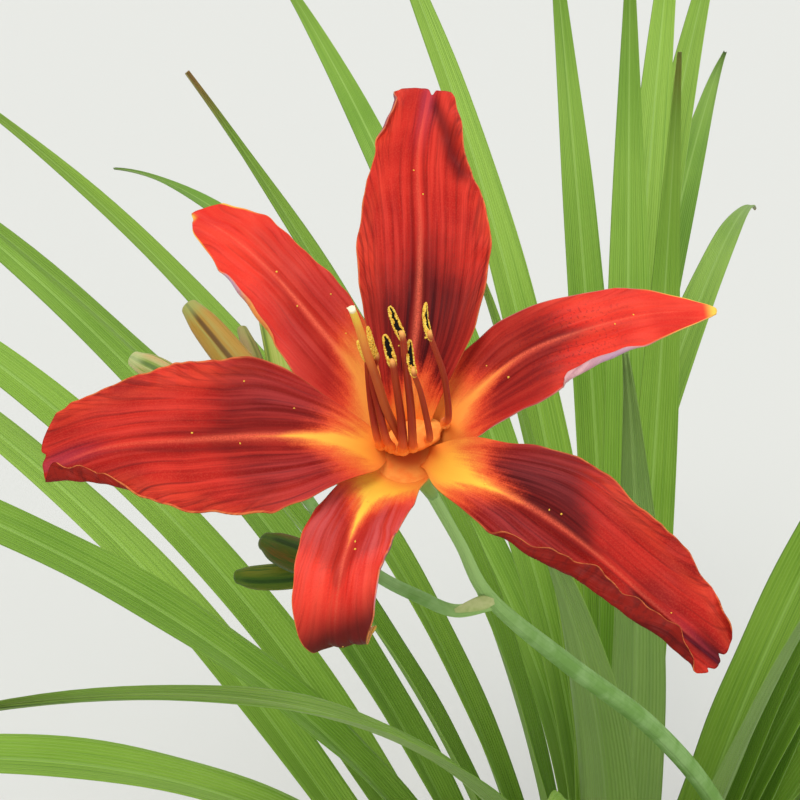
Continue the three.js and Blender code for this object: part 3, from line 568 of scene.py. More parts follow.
class Paint:
    """A material in the making, with short names for the nodes that it uses."""

    def __init__(self, name, roughness, specular):
        self.material = bpy.data.materials.new(name)
        self.material.use_nodes = True
        self.tree = self.material.node_tree
        self.shader = self.tree.nodes["Principled BSDF"]
        self.shader.inputs["Roughness"].default_value = roughness
        self.shader.inputs["Specular IOR Level"].default_value = specular
        self.place = Value(self.tree, self.tree.nodes.new("ShaderNodeTexCoord").outputs["Object"])

    def mark(self, name):
        """A number that the mesh keeps at each point."""
        node = self.tree.nodes.new("ShaderNodeAttribute")
        node.attribute_name = name
        return Value(self.tree, node.outputs["Fac"])

    def noise(self, place, scale, detail=2.0, roughness=0.5):
        """Noise at a place, which may be three values."""
        if isinstance(place, tuple):
            place = node_value(self.tree, "ShaderNodeCombineXYZ", place)
        node = self.tree.nodes.new("ShaderNodeTexNoise")
        for name, value in dict(Vector=place, Scale=scale, Detail=detail, Roughness=roughness).items():
            plug(self.tree, node.inputs[name], value)
        return Value(self.tree, node.outputs[0])

    def threads(self, round_it, along_it):
        """Noise in lines along a rod, from its marks: how fine it is round the rod and along it."""
        turn = self.mark("turn") * 2 * math.pi
        place = (turn.math("SINE") * round_it, turn.math("COSINE") * round_it, self.mark("along") * along_it)
        return self.noise(place, 1, 3, 0.6)

    def mix(self, share, first, second):
        node = self.tree.nodes.new("ShaderNodeMix")
        node.data_type = "RGBA"
        colours = [s for s in node.inputs if s.type == "RGBA"]
        for socket, value in zip([node.inputs[0], *colours], (share, first, second)):
            plug(self.tree, socket, value)
        return Value(self.tree, next(s for s in node.outputs if s.type == "RGBA"))

    def layers(self, base, *layers):
        """The base with each layer's colour laid over it, to the share that comes first."""
        for share, over in layers:
            base = self.mix(share, base, over)
        return base

    def finish(self, base, roughness=None, height=None, depth=0.1):
        """Joins up the shader. height is a relief of up to 1, and depth its size in millimetres."""
        plug(self.tree, self.shader.inputs["Base Color"], base)
        if roughness is not None:
            plug(self.tree, self.shader.inputs["Roughness"], roughness)
        if height is not None:
            bump = self.tree.nodes.new("ShaderNodeBump")
            bump.inputs["Distance"].default_value = depth * MM
            plug(self.tree, bump.inputs["Height"], height)
            self.tree.links.new(bump.outputs["Normal"], self.shader.inputs["Normal"])
        return self.material


class TepalPaint(Paint):
    """Red with an orange throat that runs out along the midrib, a maroon eye zone and dark veins."""

    def __init__(self, name, look, sepal):
        super().__init__(name, roughness=0.55, specular=0.15 if sepal else 0.1)
        self.look, self.sepal = look, sepal
        self.u, self.v, self.vein, self.edge, self.under, self.crease = (
            self.mark(mark) for mark in ("along", "across", "vein", "edge", "under", "crease"))
        self.out = self.v.size().math("MINIMUM", 1.0)
        self.margin = self.out.smooth(0.5, 0.95) * self.u.smooth(0.4, 0.6)
        self.streaks = self.pattern(self.vein * 1.3, self.u * 1.8, 0, 3)
        self.wisps = self.pattern(self.vein * 5, self.u * 5, 5)
        self.blotch = self.pattern(self.v * 2.2, self.u * 7, 9, 3)
        self.grain = self.noise(self.place, 4200, 1)
        ragged = ((self.streaks - 0.5) * 0.06 + (self.wisps - 0.5) * 0.03 + (self.blotch - 0.5) * 0.14
                  + (self.grain - 0.5) * 0.05)
        lean = self.v.math("MAXIMUM", -0.4) * look["lean"]  # on the right half it soon stops growing
        self.border = ragged + look["throat"] + self.out.fading(2.6) * look["wedge"] + lean
        self.flame = self.border + self.out.fading(11) * look["flame"]

    def pattern(self, across, along_it, seed, detail=2, roughness=0.6):
        """Noise stretched along the tepal, its own for each tepal and each seed."""
        return self.noise((across, along_it, self.look["seed"] + seed), 1, detail, roughness)

    def lines(self):
        """Dark veins, each at a whole number of "vein" and broken up on its way, with wisps between."""
        broken = self.pattern(self.vein * 0.9, self.u * 7, 2, 2, 0.5).smooth(0.4, 0.62)
        veins = (1 - (self.vein * math.pi).math("SINE").size().smooth(0.0, 0.45)) * broken
        lines = veins * 0.85 + self.wisps.smooth(0.5, 0.66) * (self.margin * 0.5 + 0.25)
        return lines * self.u.smooth(0.24, 0.42) * self.out.smooth(0.06, 0.2)

    def red(self, lines):
        """The red of the face: clouded, streaked with painted light, brighter at the margins, with its veins.
        """
        sepal = self.sepal
        cloud = self.noise(self.place, 90, 2)
        red = self.layers(
            self.mix(cloud.smooth(0.35, 0.65), *self.look["reds"]),
            # painted sparkle: fine light specks where the velvety surface glints
            (self.grain.smooth(0.4, 0.75) * 0.1, "#ff7858"),
            # painted light: lengthwise bands where the folds catch the light
            (self.streaks.smooth(0.42, 0.7) * self.look["bright"], "#ee4c36" if sepal else "#dc3a2b"),
            (self.margin * self.blotch.smooth(0.35, 0.65) * (0.2 if sepal else 0.55), "#e2492c"),
            (lines * (0.2 if sepal else 0.48), "#4e090d"))
        if sepal:
            return red
        # painted shade: short dark strokes in the crinkles of a petal's margin
        crinkle_shade = self.pattern(self.u * 62 - self.out * 19, self.out * 2, 0).smooth(0.45, 0.65)
        crinkle_shade = crinkle_shade * self.out.smooth(0.6, 0.9) * self.u.smooth(0.42, 0.6)
        return self.mix(crinkle_shade * 0.4, red, "#6a110e")

    def zones(self, red):
        """The red with a glowing border to the throat, the dark eye zone, a painted lilac sheen, and dots."""
        u, out, look, border = self.u, self.out, self.look, self.border
        left, right = look["eye"]
        eye = u.smooth(border + 0.02, border + 0.11) * (1 - u.smooth(border + 0.23, border + look["eye_end"]))
        eye = eye * (1 - out.smooth(0.35, 1.0) * 0.42) * (self.streaks.smooth(0.35, 0.6) * -0.25 + 1)
        # painted lilac sheen beyond the throat, broken into streaks
        lilac_sheen = u.bell(look["throat"] + 0.19, 0.13) * out.smooth(0.1, 0.5) * self.streaks.smooth(0.35, 0.6)
        dots = self.pattern(self.vein * 4, u * 130, 0, 1, 0.5).smooth(0.56, 0.66)
        dots = dots * u.bell(0.6, 0.16) * (1 - out.smooth(0.5, 0.9))
        return self.layers(
            red,
            ((1 - u.smooth(border + 0.02, border + 0.12)) * 0.85, "#e8502c"),
            (eye * (self.v.smooth(-0.15, 0.15) * (left - right) + right), "#45080b"),
            (lilac_sheen * look["lilac"], "#c0707a"),
            (dots * look["spots"], "#74131a"))

    def throat(self, red):
        """The red with the orange throat, yellow in its middle, and the midrib that runs on from it, with
        painted shade beside it.
        """
        u, out, flame = self.u, self.out, self.flame
        yellow = u.smooth(0.12, 0.26) * (1 - u.smooth(flame - 0.06, flame + 0.02))
        yellow = yellow * (1 - out.smooth(0.3, 0.95) * 0.6)
        orange = self.mix(yellow * self.look["yellow"], "#ffa048", "#ffcc48")
        rib = (out / (u.smooth(0.7, 0.4) * 0.03 + 0.035)).bell(0, 1) * (1 - u.smooth(0.5, 0.8) * 0.5)
        rib = rib * u.smooth(flame - 0.1, flame + 0.05) * (1 - u.smooth(0.88, 0.98))
        # painted shade in the grooves beside the midrib's keel
        beside = out.bell(0.12, 0.035) * u.smooth(0.42, 0.56) * (1 - u.smooth(0.75, 1))
        return self.layers(
            red,
            (1 - u.smooth(flame - 0.08, flame + 0.06), orange),
            (rib * (self.grain.smooth(0.3, 0.7) * 0.6 + 0.7) * self.look["rib"], "#f06448"),
            (beside * (0.12 if self.sepal else 0.4), "#5a0d10"))

    def tip(self, base):
        """The base with painted shade in creases, hollow and end, and a petal's painted lilac sheen or a
        sepal's golden tip.
        """
        u, out, look = self.u, self.out, self.look
        # painted shade in the hollow of the tip
        hollow = u.smooth(0.88, 0.95) * (1 - out.smooth(0.2, 0.6))
        hollow = hollow * (self.blotch.smooth(0.3, 0.6) * 0.5 + 0.5)
        base = self.layers(
            base,
            # painted shade along the valleys' creases
            (self.crease * 0.75, "#4e090d"),
            # painted shade where the tepal's end curls under
            (u.smooth(*look["end_shade"]) ** 1.5 * 0.9, "#3c0808"),
            # painted lilac sheen along a petal's midrib near its tip
            (u.smooth(0.8, 0.98) * out.bell(0.06, 0.16) * (0.0 if self.sepal else 0.2), "#7a4a72"),
            (hollow * look["hollow"], "#3c070b"))
        if not self.sepal:
            return base
        gold = u.smooth(0.965, 0.995) * self.v.smooth(look["gold"], look["gold"] + 0.6)
        return self.mix(u.smooth(0.8, 0.95) * self.edge.smooth(0.93, 0.98) + gold, base, "#f4c850")

    def back(self):
        """The colours of the back, yellow at the foot, with painted shade in its folds, and a sepal's lilac
        band and golden end.
        """
        # painted shade in the folds and crinkles of the back
        folds = self.pattern(self.u * 75, self.v * 3, 0).smooth(0.45, 0.7)
        back = self.layers(
            self.mix(self.streaks.smooth(0.4, 0.7), *self.look["back"]),
            (folds * (0.15 if self.sepal else 0.5), "#4a0d0c"),
            (1 - self.u.smooth(0.1, 0.5), "#d6a03c"))
        if not self.sepal:
            return back
        return self.layers(back, (self.u.bell(0.73, 0.06), "#bc94aa"), (self.u.smooth(0.8, 0.97), "#e8a03a"))

    def whole(self):
        """The finished material. Where "under" is 0 it is the face, at 1 the back and at 2 pollen."""
        lines = self.lines()
        rim = self.edge.smooth(0.97, 0.995) * self.u.smooth(0.3, 0.5)
        rim = rim * (self.wisps.smooth(0.35, 0.6) * 0.5 + 0.15)
        base = self.layers(
            self.tip(self.throat(self.zones(self.red(lines)))),
            (self.under, self.back()),
            (rim, self.look["rim"]),
            (self.under.smooth(1.5, 2.0), "#f2c54a"))
        height = self.grain * 0.35 - lines * 0.9 + self.wisps * 0.3
        return self.finish(base, self.grain * 0.2 + 0.42, height, 0.08)


def leaf_paint():
    """Light green with fine parallel veins, paler at the foot and drier at the tip."""
    paint = Paint("leaf", roughness=0.5, specular=0.25)
    u, v, tint, under = (paint.mark(name) for name in ("along", "across", "tint", "under"))
    veins = (v * 55).math("SINE")
    streaks = paint.noise((v * 9, u * 5, tint * 40), 1, 3, 0.6)
    base = paint.layers(
        paint.mix(tint, "#6b962a", "#8cb23e"),
        (paint.noise(paint.place, 14, 3).smooth(0.3, 0.7) * 0.5, "#9cc04e"),
        (streaks.smooth(0.45, 0.7) * 0.45, "#588322"),
        (veins.smooth(0.2, 1) * 0.16, "#b4d67a"),
        (v.bell(0, 0.07) * 0.5, "#a9cd6c"),
        (1 - u.smooth(0.03, 0.16), "#d9dca6"),
        (u.smooth(0.955, 1.0) * (tint * 1.4).smooth(0.3, 0.9), "#b08a4c"),
        (under * 0.35, "#9fb878"))
    return paint.finish(base, streaks * 0.2 + 0.36, veins * 0.5 + streaks * 0.6, 0.12)


def stalk_paint():
    """Grey-green under a waxy bloom, with fine lengthwise lines."""
    paint = Paint("stalk", roughness=0.55, specular=0.25)
    lines = paint.threads(7, 4)
    bloom = paint.noise(paint.place, 130, 3, 0.6)
    base = paint.layers(
        paint.mix(bloom.smooth(0.35, 0.65), "#76a04c", "#93b870"),
        (1 - paint.mark("along").smooth(0.1, 0.26), "#a8cc78"),
        (lines.smooth(0.5, 0.7) * 0.35, "#587f38"))
    return paint.finish(base, bloom * 0.2 + 0.42, lines, 0.12)


def rod_paint(name, stops, lines="#7c1f1c", strength=0.3):
    """A colour that changes from foot to tip through those stops, with faint lengthwise lines."""
    paint = Paint(name, roughness=0.4, specular=0.2)
    u, threads = paint.mark("along"), paint.threads(4, 6)
    steps = [(u.smooth(start, end), code) for (start, _), (end, code) in zip(stops, stops[1:])]
    base = paint.layers(stops[0][1], *steps, (threads.smooth(0.5, 0.7) * strength, lines))
    return paint.finish(base, None, threads, 0.05)


def bud_paint(name, green, tip, flush, seam_shade, seam_share=0.75):
    """A closed bud: three tepals showing as lobes with seams darkened by painted shade, and a warmer flush
    between them.
    """
    paint = Paint(name, roughness=0.5, specular=0.18)
    lobes = (paint.mark("turn") * 2 * math.pi * 3).math("COSINE")
    streaks = paint.threads(6, 3)
    base = paint.layers(
        paint.mix(streaks.smooth(0.35, 0.7) * 0.6, green, tip),
        ((lobes * 0.5 + 0.5) * streaks.smooth(0.3, 0.6) * 0.8, flush),
        # painted shade in the grooves where the bud's tepals meet
        ((lobes * -1).smooth(0.75, 1.0) * seam_share, seam_shade),
        (paint.mark("along").smooth(0.86, 1.0) * 0.6, tip))
    return paint.finish(base, None, streaks + paint.noise(paint.place, 220, 2) * 0.3, 0.15)


def bract_paint():
    """Pale green, in fine papery patches."""
    paint = Paint("bract", roughness=0.6, specular=0.3)
    patches = paint.noise(paint.place, 300, 3, 0.6)
    return paint.finish(paint.mix(patches.smooth(0.35, 0.65), "#a8b86c", "#c6cc8c"), None, patches, 0.05)


def throat_paint():
    """Soft orange, darkened by painted shade where the mark "depth" says: under the collar and on the floor
    beside it.
    """
    paint = Paint("throat", roughness=0.7, specular=0.05)
    patches = paint.noise(paint.place, 500, 3, 0.6)
    base = paint.mix(patches.smooth(0.35, 0.65), "#ff9844", "#ffae52")
    return paint.finish(paint.mix(paint.mark("depth"), base, "#c8602e"), None, patches, 0.15)


def pollen_paint():
    """Yellow grains, each with its own tint, and a black sac where the tint is 2."""
    paint = Paint("pollen", roughness=0.85, specular=0.2)
    tint = paint.mark("tint")
    base = paint.layers(paint.mix(tint, "#e6a52c", "#ffe468"), (tint.smooth(1.5, 2.0), "#120c0a"))
    return paint.finish(base, None, paint.noise(paint.place, 6000, 1), 0.05)


def clay_paint():
    """Unglazed terracotta: turning lines, pores, damp darker foot and pale salts under the rim."""
    paint = Paint("terracotta", roughness=0.85, specular=0.2)
    height = paint.mark("height")
    cloud = paint.noise(paint.place, 11, 4, 0.6)
    patch = paint.noise(paint.place, 38, 4, 0.65)
    pores = paint.noise(paint.place, 900, 2)
    rings = paint.noise((0.0, 0.0, height * 150), 1, 3, 0.6)
    salts = patch.smooth(0.48, 0.72) * (height.bell(0.72, 0.2) + height.bell(0.05, 0.1) * 0.7)
    base = paint.layers(
        paint.mix(cloud.smooth(0.3, 0.7), "#b86a48", "#c87e5a"),
        (patch.smooth(0.5, 0.75) * 0.5, "#a65b3d"),
        (rings.smooth(0.5, 0.7) * 0.22, "#d69674"),
        (salts * 0.6, "#e3cdbb"),
        ((1 - height.smooth(0.0, 0.12)) * 0.35, "#8c4a33"),
        (pores.smooth(0.6, 0.75) * 0.35, "#8f4d35"))
    return paint.finish(base, pores * 0.15 + 0.76, pores * 0.5 + rings * 0.8 + patch * 0.3, 0.5)


def soil_paint():
    """Dark potting soil: each crumb has its own shade, and the palest are grit."""
    paint = Paint("soil", roughness=0.95, specular=0.15)
    tint = paint.mark("tint")
    patches = paint.noise(paint.place, 260, 4, 0.7)
    base = paint.layers(
        paint.mix(patches.smooth(0.3, 0.7), "#241a14", "#3f3026"),
        (tint.smooth(0.1, 0.8), "#5a4433"),
        (tint.smooth(0.95, 1.0), "#d8d4c8"))
    return paint.finish(base, None, patches, 1.0)


# ---------- Flower ----------

def tepal_frame(tepal, look, u):
    """Points of the midrib at each u, and the ways along the tepal, across it and out of its face."""
    turn = math.radians(tepal["azimuth"])
    outward = np.array([math.cos(turn), math.sin(turn), 0])
    sideways = np.array([-math.sin(turn), math.cos(turn), 0])

    def rib(t):
        out, up, side = along(tepal["midrib"], t).T
        return out[:, None] * outward + side[:, None] * sideways + up[:, None] * [0, 0, 1]

    nudge = 0.001
    tangent = unit(rib(np.minimum(u + nudge, 1)) - rib(np.maximum(u - nudge, 0)))
    across = unit(sideways - (tangent @ sideways)[:, None] * tangent)
    normal = np.cross(tangent, across)
    slant = np.radians(look["slant"] * smooth(0.45, 0.8, u))[:, None]
    return rib(u), tangent, across * np.cos(slant) - tangent * np.sin(slant), normal


def tepal_side(tepal, look, cup, seed, u, side, rib, across, normal):
    """One side of a tepal, from its midrib out: points, distance out, and share of the half-width."""
    width = along(tepal["left" if side > 0 else "right"], u)
    width = width * (1 + 0.02 * wobble(seed + side + 2, u, 9) * smooth(0.3, 0.5, u))
    for place, at, size, reach in look["bumps"]:
        if place == side:
            width = width + size * np.exp(-((u - at) / reach) ** 2)
    width = np.maximum(width, 0.3)
    depth, bend = np.zeros_like(u), np.zeros_like(u)
    for roll in look["rolls"]:
        if roll["side"] == side:
            share = (smooth(roll["start"], roll["start"] + roll["grow"], u)
                     * smooth(roll["end"], roll["end"] - roll["fade"], u))
            depth += roll["depth"] * share * (1 + roll.get("wave", 0.2) * wobble(seed + 5, u, 14))
            bend += math.radians(roll["turn"]) * smooth(0, 0.4, share)
    reach = (width + depth)[:, None] * np.linspace(0, 1, TEPAL_HALF + 1)
    middle = (reach[:, 1:] + reach[:, :-1]) / 2
    angle = along(cup, u)[:, None] * middle
    angle = angle + bend[:, None] * smooth(width[:, None] - 0.8, width[:, None] + 0.5, middle)
    angle = angle[..., None]
    step = np.diff(reach, axis=1)[..., None]
    move = step * (side * np.cos(angle) * across[:, None] + np.sin(angle) * normal[:, None])
    points = rib[:, None] + np.concatenate([np.zeros((len(u), 1, 3)), np.cumsum(move, axis=1)], axis=1)
    return np.concatenate([points, side * reach[..., None], side * (reach / width[:, None])[..., None]], -1)


def tepal_relief(look, seed, u, v, gap, vein, is_petal):
    """How far each point stands out of the face: ribs between the veins, keel, swelling and ruffle."""
    out = np.minimum(np.abs(v), 1)
    beside = 0.1 * np.sign(v)
    relief = -0.06 * np.cos(2 * math.pi * vein) * smooth(0.25, 0.45, u) * (1 - 0.5 * smooth(0.8, 1, u))
    keel = 0.3 * np.exp(-(gap / 0.9) ** 2) - 0.25 * np.exp(-((np.abs(gap) - 1.9) / 0.7) ** 2)
    relief = relief + keel * smooth(0.28, 0.42, u) * (1 - smooth(0.85, 1, u))
    swell = 0.5 * wobble(seed + 6, u + beside, 3) * np.sin(math.pi * out)
    if is_petal:
        phase = 2 * math.pi * RUFFLE["waves"] * u + np.where(v >= 0, 0.7, 2.9)
        ruffle = 0.65 * look["ruffle"] * RUFFLE["height"] * out**3 * np.sin(phase)
        ruffle = ruffle + 0.3 * out**5 * wobble(seed + 7, u + beside, 20) * smooth(0.4, 0.7, u)
    else:
        ruffle = 0.2 * out**4 * wobble(seed + 7, u + beside, 6)
    return smooth(0.3, 0.6, u) * (ruffle + swell) + relief


def tepal_creases(look, u, v, lift):
    """The relief with the tepal's valleys sunk into it, and how far each point lies in one, for painted shade
    there.
    """
    crease = np.zeros(u.shape)
    scale = np.array([80, 12])  # millimetres along and across a tepal, near enough
    for side, start, end, breadth, depth in look["valleys"]:
        start, way = np.array(start) * scale, (np.array(end) - start) * scale
        here = np.stack([u, side * v], -1) * scale - start
        share = np.clip(here @ way / (way @ way), 0, 1)
        dip = np.exp(-(np.linalg.norm(here - share[..., None] * way, axis=-1) / breadth) ** 2)
        lift, crease = lift - depth * dip, np.maximum(crease, dip)
    return lift, crease


def resample(grid, t):
    """The grid's columns read again at the shares t of their length."""
    last = len(grid) - 1
    low = np.minimum((t * last).astype(int), last - 1)
    share = (t * last - low)[..., None]
    column = np.arange(grid.shape[1])
    return grid[low, column] * (1 - share) + grid[low + 1, column] * share


def tepal_grid(name, tepal, cup, veins):
    """The front surface of a tepal: its points, and the marks at each."""
    u = np.linspace(0, 1, TEPAL_ROWS)
    look = LOOKS[name]
    seed = list(LOOKS).index(name) * 10
    rib, tangent, across, normal = tepal_frame(tepal, look, u)
    right, left = (tepal_side(tepal, look, cup, seed, u, side, rib, across, normal) for side in (-1, 1))
    grid = np.concatenate([right[:, :0:-1], left], axis=1)
    points, gap, v = grid[..., :3], grid[..., 3], grid[..., 4]
    u = np.broadcast_to(u[:, None], v.shape)

    # Veins keep their distance from the midrib once the tepal is at its widest, so the outer ones
    # run out into the margins.
    widest = np.maximum.accumulate(np.maximum(along(tepal["left"], u[:, 0]), along(tepal["right"], u[:, 0])))
    beside = 0.1 * np.sign(v)
    vein = veins * gap / widest[:, None] * (1 - 0.3 * smooth(0.35, 1, u) * np.minimum(np.abs(v), 1) ** 2)
    vein = vein + 0.2 * wobble(seed + 8, u + beside, 2) + 0.03 * wobble(seed + 9, u + 2 * beside, 9)
    lift = tepal_relief(look, seed, u, v, gap, vein, name in PETALS)
    lift, crease = tepal_creases(look, u, v, lift)
    points = points + lift[..., None] * normal[:, None]
    middle = tangent[int(0.6 * TEPAL_ROWS)]
    points = points - (look["skew"] * v * smooth(0.45, 0.8, u))[..., None] * middle

    share = np.linspace(-1, 1, 2 * TEPAL_HALF + 1)
    cut = look["corner"] * share**4
    for place, depth, reach in look["notches"]:
        cut = cut + depth * np.exp(-((share - place) / reach) ** 2)
    t = np.clip(u * (1 - np.maximum(cut, 0) * smooth(0.75, 1, u)), 0, 1)
    grid = resample(np.concatenate([points, v[..., None], vein[..., None], crease[..., None]], -1), t)
    return grid[..., :3], dict(along=t, across=grid[..., 3], vein=grid[..., 4], crease=grid[..., 5],
                               edge=np.broadcast_to(np.abs(share), t.shape))


def make_tepals(tepals, cup, veins, slot):
    """The tepals of one kind, with a few specks of fallen pollen on each."""
    rng = np.random.default_rng(SEEDS["specks"])
    for name, tepal in tepals.items():
        points, marks = tepal_grid(name, tepal, cup, veins)
        front = flower_point(points)
        thickness = TEPAL_THICKNESS * (0.35 + 0.55 * (1 - smooth(0.2, 1, np.abs(marks["across"]))))
        shape = Shape().add(*blade(front, thickness * (1 - 0.3 * smooth(0.8, 1, marks["along"])), **marks))
        row, column = rng.integers(60, 140, SPECKS), rng.integers(12, 68, SPECKS)
        lumps(shape, front[row, column], rng.uniform(0.12, 0.3, (SPECKS, 3)), rng, 0.2,
              along=0.5, across=0.5, vein=0.5, crease=0.0, edge=0.0, under=2.0)
        shape.make(name, TepalPaint(name, LOOKS[name], slot == "sepal").whole(), slot, name)


def anther_spine(start, end, facing, s):
    """Points along an anther's slightly bowed middle."""
    return start + (end - start) * s[:, None] - 0.5 * (4 * s * (1 - s))[:, None] * facing


def make_anther(shape, start, end, facing, side, breadth, rng):
    """A dark two-lobed sac, slit towards the camera, with pollen crusted on its edges and back."""
    t = np.linspace(0, 1, 25)
    turn = np.linspace(0, 2 * math.pi, 28, endpoint=False)

    def swell(s):
        return breadth * np.sqrt(np.clip(1 - (2 * s - 1) ** 4, 0.03, 1)) * (0.98 - 0.33 * s)

    groove = 1 - 0.5 * np.exp(-((np.minimum(turn, 2 * math.pi - turn)) / 0.5) ** 2)
    ring = anther_spine(start, end, facing, t)[:, None] + swell(t)[:, None, None] * (
        (0.5 * np.cos(turn) * groove)[:, None] * facing + (0.6 * np.sin(turn))[:, None] * side)
    index, wall = ring_faces(t.size, turn.size)
    shape.add(ring, [wall, index[:1, ::-1], index[-1:]], tint=2.0)
    s = rng.uniform(0, 1, GRAINS)
    hand = rng.choice([-1, 1], GRAINS)
    bare = 0.27 + 0.09 * np.sin(7 * s + hand * rng.uniform(0, 3)) + 0.07 * np.sin(23 * s + 2 * hand)
    around = (bare + (1 - bare) * rng.uniform(0, 1, GRAINS) ** 1.3) * math.pi * hand
    crust = 1 + rng.uniform(0, 0.3, GRAINS) * np.abs(np.sin(around))
    at = anther_spine(start, end, facing, s) + (swell(s) * crust)[:, None] * (
        (0.52 * np.cos(around))[:, None] * facing + (0.68 * np.sin(around))[:, None] * side)
    lumps(shape, at, rng.uniform(0.09, 0.17, (GRAINS, 1)), rng, 0.2, tint=rng.uniform(0, 1, GRAINS))


def to_camera():
    """The direction from the flower to the camera."""
    tilt = math.radians(VIEW_ELEVATION)
    return np.array([0, -math.cos(tilt), math.sin(tilt)])


def make_stamens():
    red = rod_paint("filament", [(0, "#ffa64c"), (0.24, "#ff9a4a"), (0.33, "#d86038"), (0.44, "#a8342a"),
                                 (0.55, "#a02a20"), (0.82, "#b03a22"), (0.92, "#f6b05a")])
    pollen = pollen_paint()
    view = to_camera()
    for index, stamen in enumerate(STAMENS):
        foot = np.array(stamen["path"][0]) - (0, 0, 1.6)
        path = [flower_point(p) for p in [foot, *stamen["path"]]]
        tip = flower_point(stamen["anther"])
        way = unit(tip - path[-1])
        start, end = path[-1] - way * 0.4, tip + way * 0.4
        front = unit(view - view @ way * way)
        turn = math.radians(stamen["turn"])
        facing = front * math.cos(turn) + np.cross(way, front) * math.sin(turn)
        path.append(start + (end - start) * 0.3 + front * 0.35)
        name = f"filament_{index + 1}"
        radii = np.array(FILAMENT_RADII) * stamen["thick"]
        Shape().add(*rod(path, radii, 70, 18)).make(name, red, "filament", name)
        shape, name = Shape(), f"anther_{index + 1}"
        rng = np.random.default_rng(SEEDS["anther"] + index)
        make_anther(shape, start, end, facing, np.cross(way, facing), stamen["breadth"], rng)
        shape.make(name, pollen, "anther", name)


def make_throat():
    """The floor of the tube's mouth, and the fleshy orange collar on it where the filaments meet."""
    points, faces = lathe(subdivided(rounded(COLLAR["profile"], 0.4), 0.15), 120)
    turn = np.arctan2(points[:, 1], points[:, 0])
    uneven = 1 + 0.03 * np.cos(9 * turn + 0.5) + 0.03 * np.sin(5 * turn)
    share = np.hypot(points[:, 0], points[:, 1]) * uneven
    spin = math.radians(COLLAR["turn"])
    x, y = COLLAR["length"] * share * np.cos(turn), COLLAR["breadth"] * share * np.sin(turn)
    local = np.stack([x * math.cos(spin) - y * math.sin(spin) + COLLAR["middle"][0],
                      x * math.sin(spin) + y * math.cos(spin) + COLLAR["middle"][1],
                      points[:, 2] + 0.1 * x], -1)
    # The collar's underside gets painted shade through the mark "depth".
    shape = Shape().add(flower_point(local), faces, depth=smooth(-3.0, -5.0, points[:, 2]))
    points, faces = lathe(subdivided(rounded(MOUTH_FLOOR, 0.8), 0.4), 120)
    out = np.hypot(points[:, 0], points[:, 1])
    # The mouth's floor is darkest next to the collar: painted shade in the hollow under it.
    shape.add(flower_point(points), faces, depth=1 - smooth(1.5, 5.5, out))
    shape.make("throat", throat_paint(), "tube", "perianth_tube")


def make_pistil():
    """The style, and a stigma of small beads in three lobes on its end."""
    paint = rod_paint("style", [(0, "#d0582c"), (0.3, "#b44a2c"), (0.6, "#c45c32"), (0.72, "#ea8440"),
                                (0.83, "#ffa848"), (0.92, "#ffca4c"), (0.975, "#ffd450"), (0.997, "#fff2cc")],
                      lines="#b04024", strength=0.15)
    path = [flower_point(p) for p in PISTIL]
    shape = Shape().add(*rod(path, PISTIL_RADII, 90, 24, dome=0.4))
    rng = np.random.default_rng(SEEDS["stigma"])
    way = unit(path[-1] - path[-2])
    side = unit(np.cross(way, [0.3, 0.9, 0.1]))
    other = np.cross(way, side)
    turn = rng.uniform(0, 2 * math.pi, BEADS)
    spread = (0.42 + 0.25 * np.cos(3 * turn)) * rng.uniform(0.3, 1.1, BEADS)
    at = path[-1] + spread[:, None] * (np.cos(turn)[:, None] * side + np.sin(turn)[:, None] * other)
    lumps(shape, at, rng.uniform(0.08, 0.14, (BEADS, 1)), rng, 0.3, along=1.0, turn=0.0)
    shape.make("pistil", paint, "style", "pistil")


# ---------- Stalk, buds and bracts ----------

def plant_points(path):
    """Points relative to the flower's place, in the plant's frame."""
    return [PLACE + p for p in path]


def make_stalk():
    green = stalk_paint()
    tube = rod_paint("perianth_tube", [(0, "#e0862e"), (0.1, "#c9a03c"), (0.4, "#93a84e"), (1, "#82ab66")],
                     lines="#6d8c44", strength=0.4)
    neck = [*plant_points(NECK), PLACE + STALK["path"][0] + (0.4, 0.3, -1.2)]
    shape = Shape().add(*rod(neck, [*NECK_RADII, 1.1], 48, 48, lobes=6, lobe=0.03))
    shape.make("perianth_tube", tube, "tube", "perianth_tube")
    shape = Shape().add(*rod(plant_points(STALK["path"]), STALK["radii"], 220, 36, lobes=5, lobe=0.015))
    shape.make("stalk", green, "stalk", "stalk")
    shape = Shape().add(*rod(plant_points(BRANCH["path"]), BRANCH["radii"], 80, 28, lobes=5, lobe=0.02))
    for bud in BUDS.values():
        shape.add(*rod(plant_points(bud["stem"]), STEM_RADII, 8, 18))
    shape.make("stalk_branch", green, "stalk", "stalk")


def make_buds():
    paints = {
        # bud_a and bud_b hang in shade below the branch: their greens are darkened as painted shade.
        "bud_a": bud_paint("bud_low_shaded", "#3c5c10", "#4c6a14", "#7a7a18", "#22400c"),
        "bud_b": bud_paint("bud_brown_shaded", "#3a5410", "#486218", "#704a14", "#1e3208"),
        "bud_c": bud_paint("bud_pale", "#7f9540", "#b8c488", "#d0a470", "#3f5f20"),
        "bud_d": bud_paint("bud_gold", "#a88230", "#94a860", "#b98436", "#5c3a14", 0.9),
        "bud_e": bud_paint("bud_lime", "#96ac46", "#b9c86a", "#aeb45a", "#5e7a34"),
        "bud_f": bud_paint("bud_rosy", "#8f8a4a", "#9a9a5c", "#a07860", "#6c6a3a"),
    }
    for name, bud in BUDS.items():
        radii = [share * bud["radius"] for share in BUD_PROFILE]
        body = rod(plant_points(bud["path"]), radii, 60, 60, lobe=0.07, spin=bud["spin"], dome=0.7)
        Shape().add(*body).make(name, paints[name], "ripe_bud" if name == "bud_d" else "bud", name)


